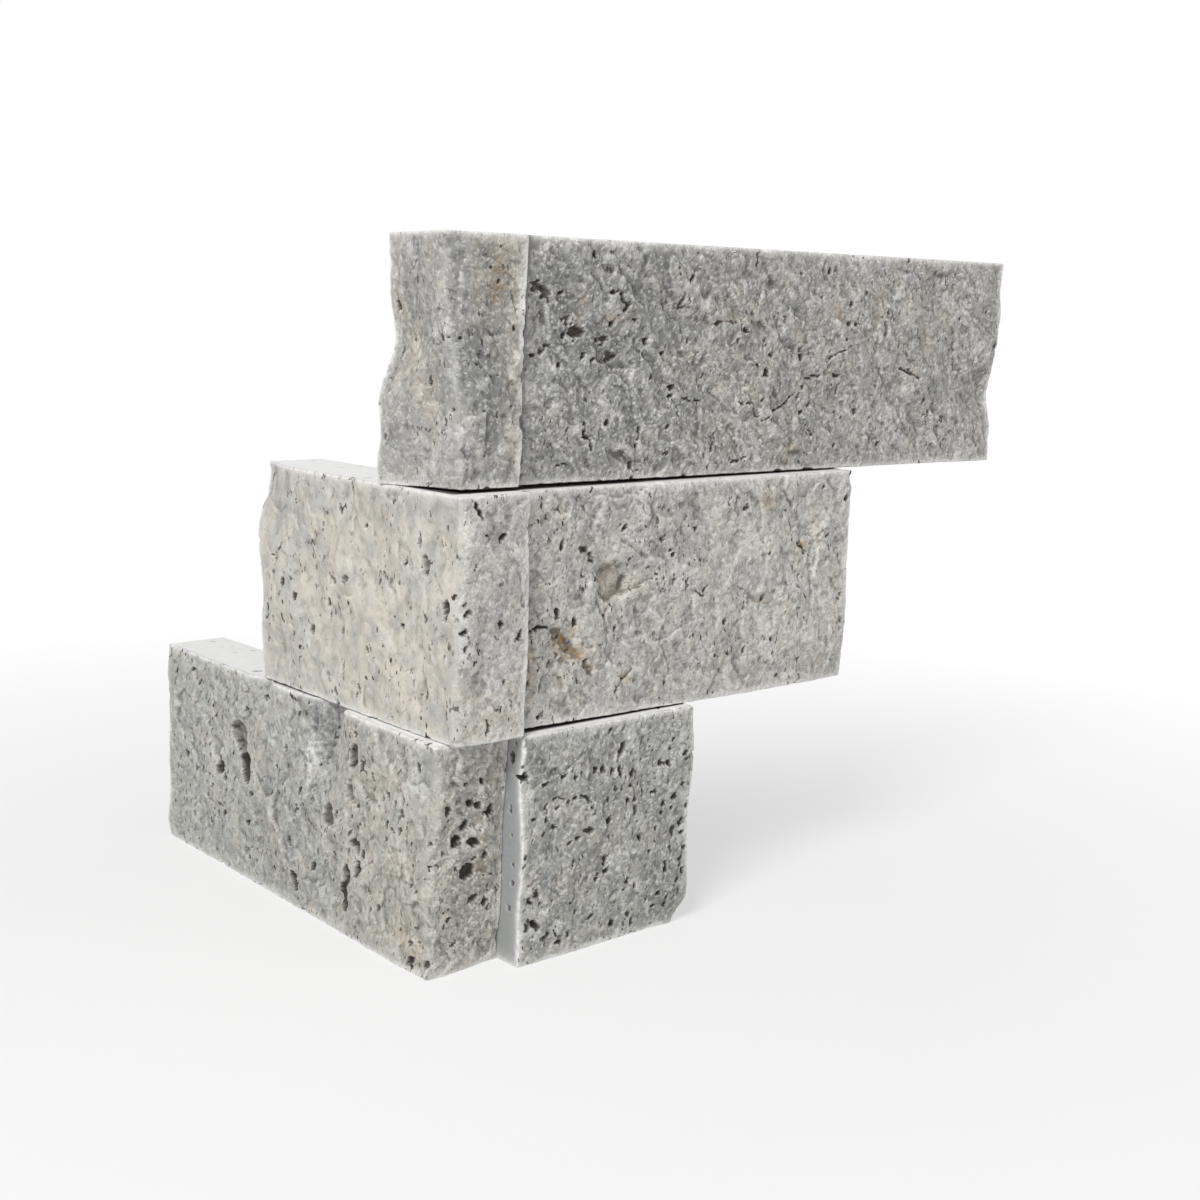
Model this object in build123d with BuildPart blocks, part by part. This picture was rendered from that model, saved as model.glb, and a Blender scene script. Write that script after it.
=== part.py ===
"""Stacked stone corner: six travertine strips in three courses, wrapped round an outside wall corner.

Every strip is sawn on its beds, back and ends, and then split along its face, which breaks it into flat
facets. Each left strip runs through to the outside corner and shows a split end there. Each right strip
butts against the back of the left one. The origin is on the wall's own corner line, at the foot of the
unit: +X runs along the right leg, +Y along the left leg, +Z up. Sizes are millimetres, turns degrees.
"""

from build123d import *

import os
from collections import namedtuple
from math import cos, exp, floor, pi, sin

# Driving dimensions
COURSE = 50.0  # height of one course, bed to bed
BLANK = 26.0  # depth of a sawn blank before it is split
RUN_OUT = 14.0  # how far a split surface runs past the strip, to clear the blank on every side

# Facets of a split
FACET = 3.2  # spacing of the points that the facets meet at
SCATTER = 0.95  # how far those points lie off an even grid
CHIP = 0.35  # how far they stand in or out of the smooth relief
BED_CALM = 10.0  # chips and ripple die out over this distance from a bed, so its arrises run straight

# Ripple that every split shows: two crossed waves
RIPPLE = 0.45  # height of the main wave
LONG_WAVE = 31.0  # its length along the strip
TALL_WAVE = 43.0  # its length up the strip
CROSS_SHARE = 0.6  # height of the crossing wave, as a share of the main one
CROSS_LONG = 19.0
CROSS_TALL = -27.0

# Vugs, the open voids in the stone
VUG_CORNERS = 9  # corners of the ragged outline
VUG_RAGGED = 0.2  # how far they lie off an ellipse, as a share of its size
VUG_FLOOR = 0.45  # size of the floor, as a share of the mouth
VUG_LIFT = 1.5  # how far the cut starts above the face

# The foot of the lower right strip has lost its outer corner.
BREAK_ALONG = 5.5  # along the strip
BREAK_UP = 7.0  # up its end
BREAK_IN = 9.0  # back along the bed

# Places on a face are read from its lower left corner, as seen from the front.
# A swell raises the face, and a hollow or a lost edge is a swell with a negative rise.
Swell = namedtuple("Swell", "along up reach_along reach_up rise")

# A vug: half its length, half its width, its depth and the turn of its long axis.
Vug = namedtuple("Vug", "along up half_long half_wide deep turn")

# A split face: its mean distance from the back (reach), how much further out its head is than its
# foot (lean) and its right side than its left (taper), how much the lean grows from left to right
# (twist), and where its ripple starts (phase).
Split = namedtuple("Split", "reach lean taper twist phase swells vugs", defaults=((), ()))

# Strips of the left leg, from the foot up: how far each runs along +Y, its face and its corner end.
LEFT_STRIPS = {
    "lower_left_strip": (
        105.0,
        Split(
            reach=17.9,
            lean=0.0,
            taper=4.0,
            twist=0.0,
            phase=0.4,
            swells=[
                Swell(76.0, 45.0, 7.0, 14.0, -2.8),
                Swell(48.5, 51.0, 4.0, 5.0, -2.6),
                Swell(0.0, 31.0, 10.0, 8.0, 1.0),
                Swell(0.0, 5.0, 9.0, 4.0, 0.9),
            ],
            vugs=[
                Vug(38.6, 29.0, 3.6, 3.2, 1.8, 20.0),
                Vug(39.6, 21.5, 4.6, 2.2, 3.2, 85.0),
                Vug(27.5, 25.4, 1.8, 1.4, 1.8, 70.0),
                Vug(62.1, 6.3, 2.4, 1.2, 2.0, 150.0),
                Vug(70.7, 11.5, 1.8, 1.0, 1.6, 40.0),
                Vug(80.0, 26.5, 2.4, 1.8, 1.2, 60.0),
                Vug(87.4, 40.4, 2.6, 2.0, 2.4, 70.0),
                Vug(87.4, 33.0, 3.4, 1.0, 1.6, 88.0),
                Vug(91.6, 16.8, 1.8, 1.0, 1.8, 75.0),
                Vug(85.6, 9.6, 4.4, 1.5, 2.8, 80.0),
            ],
        ),
        Split(
            reach=13.6,
            lean=3.0,
            taper=-1.6,
            twist=0.0,
            phase=1.9,
            vugs=[
                Vug(7.0, 21.6, 3.2, 2.4, 2.6, 12.0),
                Vug(3.2, 28.6, 2.0, 1.5, 2.2, 70.0),
                Vug(7.8, 27.7, 2.3, 1.0, 1.8, 160.0),
                Vug(9.0, 35.5, 1.8, 1.0, 1.6, 150.0),
            ],
        ),
    ),
    "middle_left_strip": (
        58.0,
        Split(
            reach=17.2,
            lean=0.8,
            taper=1.4,
            twist=-1.2,
            phase=2.6,
            swells=[
                Swell(0.0, 31.0, 12.0, 9.0, 0.3),
                Swell(0.0, 48.0, 7.0, 10.0, -3.0),
                Swell(0.0, 13.0, 10.0, 8.0, 0.7),
                Swell(44.0, 22.0, 14.0, 16.0, 0.6),
            ],
            vugs=[
                Vug(66.0, 34.8, 2.6, 1.1, 2.0, 100.0),
                Vug(73.4, 27.7, 1.9, 1.0, 2.0, 95.0),
                Vug(22.4, 15.4, 1.6, 1.1, 1.4, 60.0),
            ],
        ),
        Split(
            reach=19.8,
            lean=0.4,
            taper=-0.3,
            twist=0.0,
            phase=0.9,
            vugs=[Vug(9.1, 41.6, 1.6, 1.2, 1.4, 20.0)],
        ),
    ),
    "upper_left_strip": (
        8.0,
        Split(
            reach=17.3,
            lean=3.0,
            taper=0.6,
            twist=9.0,
            phase=4.1,
            swells=[
                Swell(0.0, 29.0, 12.0, 7.5, -3.0),
                Swell(1.0, 17.0, 9.0, 6.0, 1.6),
                Swell(0.0, 4.0, 10.0, 6.0, 1.2),
            ],
        ),
        Split(reach=16.5, lean=1.6, taper=0.6, twist=0.0, phase=3.3),
    ),
}

# Strips of the right leg, from the foot up: length along +X and face.
RIGHT_STRIPS = {
    "lower_right_strip": (
        48.0,
        Split(
            reach=19.0,
            lean=0.6,
            taper=0.6,
            twist=-0.8,
            phase=5.0,
            swells=[Swell(36.0, 0.0, 12.0, 5.0, -1.0)],
            vugs=[
                Vug(1.2, 40.8, 1.9, 1.6, 2.2, 0.0),
                Vug(6.0, 38.9, 1.5, 1.1, 1.8, 10.0),
                Vug(26.8, 42.9, 1.8, 1.2, 1.8, 75.0),
                Vug(23.8, 29.1, 2.2, 1.4, 2.0, 60.0),
                Vug(17.7, 27.0, 1.7, 1.3, 1.6, 20.0),
                Vug(23.4, 18.6, 2.4, 0.9, 1.8, 80.0),
            ],
        ),
    ),
    "middle_right_strip": (
        99.0,
        Split(
            reach=17.3,
            lean=0.6,
            taper=1.4,
            twist=0.0,
            phase=1.2,
            swells=[
                Swell(23.0, 31.0, 9.0, 9.0, -1.0),
                Swell(62.0, 25.0, 22.0, 18.0, 0.9),
                Swell(97.0, 0.0, 6.0, 4.0, -0.7),
                Swell(99.0, 15.0, 12.0, 8.0, 0.7),
                Swell(99.0, 40.0, 12.0, 7.0, -0.6),
            ],
            vugs=[
                Vug(23.5, 29.3, 5.6, 4.2, 2.2, 115.0),
                Vug(18.4, 36.4, 3.0, 0.9, 1.8, 140.0),
                Vug(10.6, 38.3, 1.5, 1.1, 1.6, 80.0),
                Vug(28.1, 40.9, 1.5, 0.9, 1.4, 50.0),
                Vug(12.0, 17.4, 6.8, 1.4, 2.0, -48.0),
                Vug(4.0, 21.0, 2.8, 0.8, 1.6, 30.0),
                Vug(27.6, 7.4, 2.8, 1.0, 1.8, 45.0),
                Vug(3.0, 12.4, 2.6, 0.9, 1.4, 75.0),
            ],
        ),
    ),
    "upper_right_strip": (
        155.0,
        Split(
            reach=15.6,
            lean=2.6,
            taper=0.6,
            twist=0.0,
            phase=3.7,
            swells=[
                Swell(155.0, 17.0, 12.0, 6.5, -1.2),
                Swell(152.0, 3.0, 14.0, 12.0, 1.4),
                Swell(40.0, 24.0, 22.0, 14.0, -0.9),
                Swell(96.0, 30.0, 26.0, 18.0, 0.8),
                Swell(97.0, 51.0, 5.0, 3.0, -1.8),
            ],
            vugs=[
                Vug(4.8, 39.8, 3.0, 1.3, 1.8, -28.0),
                Vug(14.7, 31.1, 3.0, 1.6, 2.0, 10.0),
                Vug(6.0, 27.4, 2.4, 1.0, 1.6, 20.0),
                Vug(27.2, 36.6, 1.8, 0.9, 1.4, 65.0),
                Vug(19.8, 28.2, 1.6, 0.8, 1.4, 0.0),
            ],
        ),
    ),
}


def scatter(along, up, salt):
    """Repeatable scatter from -1 to 1, with no pattern from one point to the next."""
    mixed = sin(along * 12.9898 + up * 78.233 + salt * 37.719) * 43758.5453
    return 2 * (mixed - floor(mixed)) - 1


def from_bed(up):
    """0 on a bed and past it, 1 from BED_CALM inside it."""
    return max(0.0, min(1.0, up / BED_CALM, (COURSE - up) / BED_CALM))


def relief(cut, width, along, up):
    """Distance of a split face from the back of its strip, at one point of the face."""
    across = along / width - 0.5
    height = up / COURSE - 0.5
    plane = cut.reach + cut.taper * across + (cut.lean + cut.twist * across) * height
    swells = sum(
        s.rise * exp(-(((along - s.along) / s.reach_along) ** 2) - ((up - s.up) / s.reach_up) ** 2)
        for s in cut.swells
    )
    main_wave = sin(2 * pi * (along / LONG_WAVE + up / TALL_WAVE) + cut.phase)
    cross_wave = sin(2 * pi * (along / CROSS_LONG + up / CROSS_TALL) - cut.phase)
    return plane + swells + RIPPLE * from_bed(up) * (main_wave + CROSS_SHARE * cross_wave)


def stations(length):
    """Even steps along a length, from RUN_OUT before it to RUN_OUT past it."""
    count = round((length + 2 * RUN_OUT) / FACET)
    return [-RUN_OUT + (length + 2 * RUN_OUT) * step / count for step in range(count + 1)]


def split_surface(front, cut, width):
    """Shell of flat facets between scattered points, each set out from the front plane by the relief."""

    def corner(along, up):
        a = along + SCATTER * scatter(along, up, cut.phase)
        u = up + SCATTER * scatter(up, along, cut.phase)
        chip = CHIP * from_bed(u) * scatter(a, u, cut.phase)
        return front.from_local_coords((a, u, relief(cut, width, a, u) + chip))

    rows = [[corner(along, up) for along in stations(width)] for up in stations(COURSE)]
    facets = []
    for low, high in zip(rows, rows[1:]):
        for a, b, c, d in zip(low, low[1:], high[1:], high):
            if (c - a).length < (d - b).length:
                triangles = [(a, b, c), (a, c, d)]
            else:
                triangles = [(a, b, d), (b, c, d)]
            facets.extend(Face(Wire.make_polygon(triangle)) for triangle in triangles)
    return Shell(facets)


def stone_side(surface, front):
    """Side of a split surface that the stone is on, which is the one its front does not face."""
    outward = surface.faces()[0].normal_at().dot(front.z_dir)
    return Keep.BOTTOM if outward > 0 else Keep.TOP


def vug_ring(vug, phase, size, height):
    """Ragged ring of points round a vug's ellipse, at a share of its size and a height off the face."""
    ring = []
    for corner in range(VUG_CORNERS):
        turn = 2 * pi * corner / VUG_CORNERS
        spread = size * (1 + VUG_RAGGED * scatter(vug.along + corner, vug.up, phase))
        ring.append(Vector(vug.half_long * spread * cos(turn), vug.half_wide * spread * sin(turn), height))
    return ring


def vug_voids(front, cut, width):
    """Faceted voids that narrow to a floor, each with its long axis turned on the face."""
    voids = []
    for vug in cut.vugs:
        flare = 1 + (1 - VUG_FLOOR) * VUG_LIFT / vug.deep
        mouth = vug_ring(vug, cut.phase, flare, VUG_LIFT)
        bottom = vug_ring(vug, cut.phase, VUG_FLOOR, -vug.deep)
        outlines = [mouth, bottom]
        outlines.extend(zip(mouth, mouth[1:] + mouth[:1], bottom[1:] + bottom[:1], bottom))
        void = Solid(Shell([Face(Wire.make_polygon(outline)) for outline in outlines]))
        middle = Pos(vug.along, vug.up, relief(cut, width, vug.along, vug.up))
        voids.append(front.location * middle * Rot(0, 0, vug.turn) * void)
    return voids


def corner_break(length, reach):
    """Plane of the lost corner: it cuts the strip's face, far end and foot at the three break sizes."""
    on_foot = Vector(length - BREAK_ALONG, -reach, 0)
    up_end = Vector(BREAK_ALONG, 0, BREAK_UP)
    back_along_bed = Vector(BREAK_ALONG, BREAK_IN, 0)
    return Plane(origin=on_foot, x_dir=up_end, z_dir=up_end.cross(back_along_bed))


def left_strip(course, far_end, face, end):
    """Strip of the left leg: sawn blank, split along its face and again across its corner end."""
    foot = course * COURSE
    face_width = far_end + end.reach
    face_front = Plane(origin=(0, far_end, foot), x_dir=(0, -1, 0), z_dir=(-1, 0, 0))
    end_front = Plane(origin=(-face.reach, 0, foot), x_dir=(1, 0, 0), z_dir=(0, -1, 0))
    face_split = split_surface(face_front, face, face_width)
    end_split = split_surface(end_front, end, face.reach)
    voids = vug_voids(face_front, face, face_width) + vug_voids(end_front, end, face.reach)
    with BuildPart() as strip:
        with BuildSketch(Plane.XY.offset(foot)):
            with Locations((0, far_end)):
                Rectangle(BLANK, far_end + BLANK, align=(Align.MAX, Align.MAX))
        extrude(amount=COURSE)
        split(bisect_by=face_split, keep=stone_side(face_split, face_front))
        split(bisect_by=end_split, keep=stone_side(end_split, end_front))
        if voids:
            add(voids, mode=Mode.SUBTRACT)
    return strip


def right_strip(course, length, face):
    """Strip of the right leg: sawn blank, split along its face. The lowest one has lost a corner."""
    foot = course * COURSE
    front = Plane(origin=(0, 0, foot), x_dir=(1, 0, 0), z_dir=(0, -1, 0))
    face_split = split_surface(front, face, length)
    voids = vug_voids(front, face, length)
    with BuildPart() as strip:
        with BuildSketch(Plane.XY.offset(foot)):
            Rectangle(length, BLANK, align=(Align.MIN, Align.MAX))
        extrude(amount=COURSE)
        split(bisect_by=face_split, keep=stone_side(face_split, front))
        add(voids, mode=Mode.SUBTRACT)
        if course == 0:
            split(bisect_by=corner_break(length, face.reach), keep=Keep.TOP)
    return strip


os.makedirs("parts", exist_ok=True)

for course, (name, sizes) in enumerate(LEFT_STRIPS.items()):
    stone = left_strip(course, *sizes)
    stone.part.label = name
    export_step(stone.part, f"parts/{name}.step")

for course, (name, sizes) in enumerate(RIGHT_STRIPS.items()):
    stone = right_strip(course, *sizes)
    stone.part.label = name
    export_step(stone.part, f"parts/{name}.step")
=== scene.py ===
"""Looks of a stacked stone corner: six split strips of travertine on a plain pale stage.

The file is laid out as an add-on and run as a script. Each strip is one closed surface, worked out as
whole arrays and put in the place of its CAD solid. The sizes in the tables are millimetres, read on a
face from its lower left corner as seen from the front; meshes are in metres, in the CAD frame.
"""

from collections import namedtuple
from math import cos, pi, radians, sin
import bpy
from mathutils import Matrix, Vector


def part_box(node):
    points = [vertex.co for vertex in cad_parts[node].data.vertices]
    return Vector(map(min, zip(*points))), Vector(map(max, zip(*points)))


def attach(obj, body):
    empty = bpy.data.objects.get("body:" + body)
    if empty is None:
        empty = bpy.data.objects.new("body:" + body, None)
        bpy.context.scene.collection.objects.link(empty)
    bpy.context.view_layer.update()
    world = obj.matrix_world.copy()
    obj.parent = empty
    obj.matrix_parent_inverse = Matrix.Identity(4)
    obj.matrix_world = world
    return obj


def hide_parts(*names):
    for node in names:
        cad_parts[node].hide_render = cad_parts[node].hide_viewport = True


bl_info = {
    "name": "Stacked Stone Corner",
    "version": (1, 0, 0),
    "blender": (4, 5, 0),
    "location": "View3D > Sidebar > Stone",
    "description": "Split travertine strips of an outside wall corner, with a plain stage",
    "category": "Object",
}

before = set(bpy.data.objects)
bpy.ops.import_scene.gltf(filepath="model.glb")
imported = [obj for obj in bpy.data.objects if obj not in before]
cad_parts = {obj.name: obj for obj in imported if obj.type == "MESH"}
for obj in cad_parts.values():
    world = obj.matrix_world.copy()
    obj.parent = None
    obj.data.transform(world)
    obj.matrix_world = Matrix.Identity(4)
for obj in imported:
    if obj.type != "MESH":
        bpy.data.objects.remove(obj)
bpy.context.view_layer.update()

import bpy
import numpy as np
from bpy.props import FloatProperty, FloatVectorProperty, PointerProperty
from mathutils import Matrix, Vector

MM = 0.001
SEED = 20

# Sizes that the strips share with the solids
COURSE = 50.0
RIPPLE = 0.45
LONG_WAVE = 31.0
TALL_WAVE = 43.0
CROSS_SHARE = 0.6
CROSS_LONG = 19.0
CROSS_TALL = -27.0
BED_CALM = 10.0

# A swell raises a face, and a hollow is a swell with a negative rise.
Swell = namedtuple("Swell", "along up reach_along reach_up rise")

# A vug is an open void: half its length and width, its depth, the turn of its long axis, how dark it is
#  inside by dirt and painted shade, how ragged its outline is and how smooth its floor.
Vug = namedtuple(
    "Vug", "along up half_long half_wide deep turn dark ragged smooth", defaults=(1.0, 1.0, 0.0)
)

# A ledge is a step along a few points. The face drops on the left of the way that they lead, and comes
# back over a reach; it may be shaded there.
Ledge = namedtuple("Ledge", "points drop reach shade", defaults=(0.0,))

# A crack follows a few points on the face.
Crack = namedtuple("Crack", "points half_wide deep")

# A tint is a patch of colour with soft edges: warm, rust, shade or chalk.
Tint = namedtuple("Tint", "kind along up reach_along reach_up strength")

# How a split broke: heights of its flakes, facets, crystals, grains and upright streaks, how far its
# flakes lean to the side as they rise, and its share of small pits.
Texture = namedtuple("Texture", "flake facet crystal grain streak slant pitted")

# A chip rounds the sawn box off at a place given along, up and inwards, by a radius, over a reach.
Chip = namedtuple("Chip", "along up deep radius reach")

# A lost corner is cut off by a plane, at three distances from the corner.
LostCorner = namedtuple("LostCorner", "along up deep")

# A split face: mean distance from the back, lean, taper, twist and ripple phase as on the solids, then
# its details.
Split = namedtuple(
    "Split",
    "reach lean taper twist phase texture swells ledges vugs cracks tints",
    defaults=((), (), (), (), ()),
)

# A strip: its CAD node, finish, course, sawn length past the wall's corner, mesh spacing on the face and
# inwards, open joint under it at the corner, how far along that joint closes, face and, on the left leg,
# corner end.
Strip = namedtuple(
    "Strip",
    "node slot course run cell deep_cell joint closes face end chips lost",
    defaults=(None, (), None),
)


# Shape of a small pit: its width as a share of its length, its least depth, how much deeper it is for
# each millimetre of half its length, and how ragged it is
PIT_WIDTH = 0.6
PIT_DEPTH = 0.6
PIT_DEEPENS = 0.6
PIT_RAGGED = 0.7


def pits(*places):
    """Small pits of the usual shape, each given as along, up, half its length and the turn of its long
    axis."""
    return [
        Vug(along, up, half, PIT_WIDTH * half, PIT_DEPTH + PIT_DEEPENS * half, turn, ragged=PIT_RAGGED)
        for along, up, half, turn in places
    ]


def stains(kind, *places):
    """Tints of one kind, each given as along, up, its reach along and up, and its strength."""
    return [Tint(kind, *place) for place in places]


LOWER_LEFT = Strip(
    "lower_left_strip", "pitted_travertine",
    course=0, run=105.0, cell=0.38, deep_cell=0.38, joint=0.0, closes=1.0,
    face=Split(
        reach=17.9, lean=0.0, taper=4.0, twist=0.0, phase=0.4,
        texture=Texture(
            flake=0.75, facet=0.4, crystal=0.13, grain=0.035, streak=0.12, slant=0.0, pitted=0.7
        ),
        swells=[
            Swell(76.0, 45.0, 7.0, 14.0, -2.8),
            Swell(48.5, 51.0, 4.0, 5.0, -2.6),
            Swell(0.0, 31.0, 10.0, 8.0, 1.0),
            Swell(0.0, 5.0, 9.0, 4.0, 0.9),
        ],
        ledges=[
            Ledge(
                [(71, 26), (72.5, 34), (76, 38), (79.5, 43), (80.5, 46), (84, 50), (86, 58)], 3.2, 9.0, 1.0
            ),
            Ledge([(84, 2), (82, 12), (84, 20), (82, 30)], 1.8, 7.0, 0.35),
        ],
        vugs=[
            Vug(37.4, 34.2, 4.6, 3.8, 2.0, 75.0, 0.4, 0.15),
            Vug(40.0, 27.2, 4.2, 3.6, 3.0, 88.0, 1.0, 0.15),
            Vug(63.6, 6.2, 3.2, 1.6, 2.4, 150.0, 1.0, 0.5),
            Vug(88.3, 41.0, 3.0, 2.6, 2.0, 70.0, 0.6, 0.4),
            Vug(87.0, 33.0, 2.8, 1.5, 1.4, 88.0, 0.2, 0.6),
            Vug(78.1, 25.4, 3.0, 2.6, 1.6, 60.0, 0.5, 0.4),
            Vug(85.3, 8.8, 3.8, 2.8, 2.8, 80.0, 1.0, 0.4),
            Vug(49.0, 46.0, 2.2, 0.6, 1.6, 5.0, 0.8),
            Vug(118.0, 8.0, 2.2, 1.6, 0.8, 60.0, 0.2),
        ] + pits(
            (35.0, 32.4, 0.9, 40), (34.8, 35.8, 0.8, 10), (28.0, 24.4, 1.7, 60), (70.8, 11.7, 1.6, 50),
            (60.7, 14.8, 1.4, 110), (26.7, 12.4, 1.1, 80), (65.3, 27.6, 1.1, 70), (87.2, 39.0, 0.9, 70),
            (86.9, 14.4, 2.8, 85), (91.2, 16.8, 2.4, 70), (90.3, 21.5, 2.2, 130), (104.8, 29.0, 1.0, 140),
            (101.7, 32.3, 0.8, 100), (17.4, 43.5, 1.0, 60), (13.6, 46.1, 0.9, 20), (27.8, 36.8, 0.9, 70),
            (57.8, 35.8, 1.0, 100), (24.1, 2.9, 0.8, 0), (111.0, 6.2, 1.0, 30), (6.0, 22.0, 0.8, 60),
            (47.0, 16.0, 0.8, 80), (52.5, 24.0, 0.9, 70), (96.0, 9.0, 0.8, 60), (74.0, 20.0, 0.8, 100),
        ),
        tints=stains(
            "warm", (102.0, 22.0, 24.0, 40.0, 0.85), (36.0, 33.0, 8.0, 7.0, 0.5),
        ) + stains(
            "shade", (72.0, 43.0, 7.0, 7.5, 0.35), (58.0, 12.0, 20.0, 14.0, 0.2),
        ) + stains(
            "chalk", (16.0, 26.0, 26.0, 30.0, 0.12), (69.0, 36.0, 3.0, 4.5, 0.85),
            (118.0, 1.5, 3.0, 2.5, 0.8),
        ) + stains(
            "rust", (38.5, 33.0, 2.0, 1.6, 0.4), (111.0, 6.5, 5.0, 4.0, 0.35),
        ),
    ),
    end=Split(
        reach=13.6, lean=3.0, taper=-1.6, twist=0.0, phase=1.9,
        texture=Texture(
            flake=0.55, facet=0.36, crystal=0.24, grain=0.05, streak=0.05, slant=0.0, pitted=0.35
        ),
        vugs=[
            Vug(9.0, 21.9, 2.0, 1.9, 1.8, 20.0, 1.0, 0.45),
            Vug(5.6, 29.0, 1.6, 1.3, 1.6, 80.0, 1.0, 0.45),
            Vug(9.8, 28.1, 1.9, 0.9, 1.4, 160.0, 1.0, 0.5),
            Vug(10.9, 15.3, 1.5, 1.1, 1.2, 40.0, 0.5),
        ] + pits(
            (8.7, 36.7, 1.4, 150), (10.8, 35.6, 1.3, 10), (13.6, 33.9, 1.5, 70), (7.4, 32.2, 1.4, 50),
            (13.8, 13.9, 1.3, 70), (11.7, 40.6, 1.0, 110), (7.0, 41.0, 0.8, 0), (5.0, 12.0, 0.9, 40),
            (13.0, 24.6, 0.9, 30), (6.2, 6.4, 0.9, 30),
        ),
        tints=stains(
            "warm", (8.0, 24.0, 14.0, 30.0, 1.5),
        ) + stains(
            "shade", (11.0, 34.0, 9.0, 20.0, 0.25),
        ) + stains(
            "rust", (11.4, 21.8, 1.4, 2.0, 0.7), (11.6, 27.8, 1.6, 1.6, 0.6),
        ),
    ),
    chips=[Chip(118.6, 0.0, 0.0, 0.6, 3.0)],
)

LOWER_RIGHT = Strip(
    "lower_right_strip", "pitted_travertine",
    course=0, run=48.0, cell=0.3, deep_cell=0.45, joint=0.0, closes=1.0,
    face=Split(
        reach=19.0, lean=0.6, taper=0.6, twist=-0.8, phase=5.0,
        texture=Texture(
            flake=0.55, facet=0.34, crystal=0.22, grain=0.05, streak=0.04, slant=0.0, pitted=0.95
        ),
        swells=[Swell(36.0, 0.0, 12.0, 5.0, -1.0)],
        ledges=[
            Ledge([(31, 22), (37, 29.5), (42, 32), (50, 36)], 0.6, 4.0),
            Ledge([(0, 35), (6, 40), (11, 40.5), (15, 44), (20, 46)], 0.5, 5.0),
        ],
        vugs=[
            Vug(1.1, 41.0, 1.3, 1.1, 1.8, 0.0, 1.0, 0.6),
            Vug(26.9, 43.0, 1.6, 1.0, 1.5, 75.0, 0.6),
            Vug(23.7, 28.0, 1.4, 1.0, 1.7, 60.0, 0.9),
            Vug(18.2, 26.8, 1.3, 1.0, 1.3, 20.0, 0.7),
            Vug(23.3, 19.3, 1.6, 0.8, 1.4, 85.0, 0.8),
            Vug(31.7, 28.5, 1.1, 0.7, 0.8, 80.0, 0.4),
            Vug(44.2, 22.2, 1.2, 0.6, 1.0, 75.0, 0.5),
            Vug(7.0, 5.2, 1.7, 0.9, 1.0, 10.0, 0.7),
        ] + pits(
            (6.2, 38.8, 1.1, 10), (23.7, 47.8, 0.8, 60), (45.2, 39.9, 1.0, 30), (41.3, 37.8, 1.0, 130),
            (42.4, 43.1, 0.7, 20), (19.9, 39.9, 0.9, 120), (24.1, 38.9, 1.1, 70), (26.6, 38.3, 1.2, 120),
            (10.8, 39.7, 0.9, 20), (30.2, 34.6, 0.8, 120), (37.0, 31.7, 0.8, 160), (9.9, 33.1, 0.7, 10),
            (6.3, 27.9, 0.8, 0), (3.2, 31.8, 0.6, 0), (13.4, 24.6, 0.9, 30), (15.6, 25.2, 0.8, 20),
            (23.7, 16.4, 1.0, 60), (0.9, 24.1, 0.8, 0), (0.6, 22.2, 0.7, 40), (46.5, 20.8, 0.7, 30),
            (32.7, 22.4, 0.8, 120), (35.5, 18.6, 0.8, 40), (44.3, 10.6, 1.0, 30), (39.3, 8.2, 0.9, 30),
            (41.5, 7.0, 0.9, 60), (43.6, 6.4, 0.8, 20), (38.0, 5.5, 0.8, 20), (26.4, 4.0, 1.3, 155),
            (3.2, 13.6, 0.9, 150), (4.2, 8.5, 1.5, 130), (10.8, 3.3, 1.1, 0), (19.9, 6.8, 1.0, 40),
            (14.3, 11.5, 0.9, 30), (15.5, 9.0, 0.8, 20), (21.5, 15.0, 0.8, 20), (45.5, 13.5, 0.7, 60),
        ),
        cracks=[
            Crack([(6.9, 34.2), (6.4, 31.6), (7.6, 29.4), (9.4, 28.9)], 0.4, 0.8),
            Crack([(8.6, 35.2), (10.2, 35.5), (11.4, 34.6)], 0.3, 0.7),
            Crack([(14.6, 34.2), (16.6, 34.6), (18.2, 33.4), (18.6, 31.8)], 0.4, 0.8),
        ],
        tints=stains(
            "warm", (22.0, 22.0, 16.0, 18.0, 0.3),
        ) + stains(
            "shade", (8.0, 44.0, 14.0, 5.0, 0.25), (24.0, 25.0, 40.0, 40.0, 0.2),
            (23.5, 19.0, 2.5, 7.0, 0.3), (42.0, 8.0, 7.0, 6.0, 0.5),
        ) + stains(
            "chalk", (9.0, 32.5, 2.2, 2.4, 0.5),
        ),
    ),
    lost=LostCorner(5.5, 7.0, 9.0),
)

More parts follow.
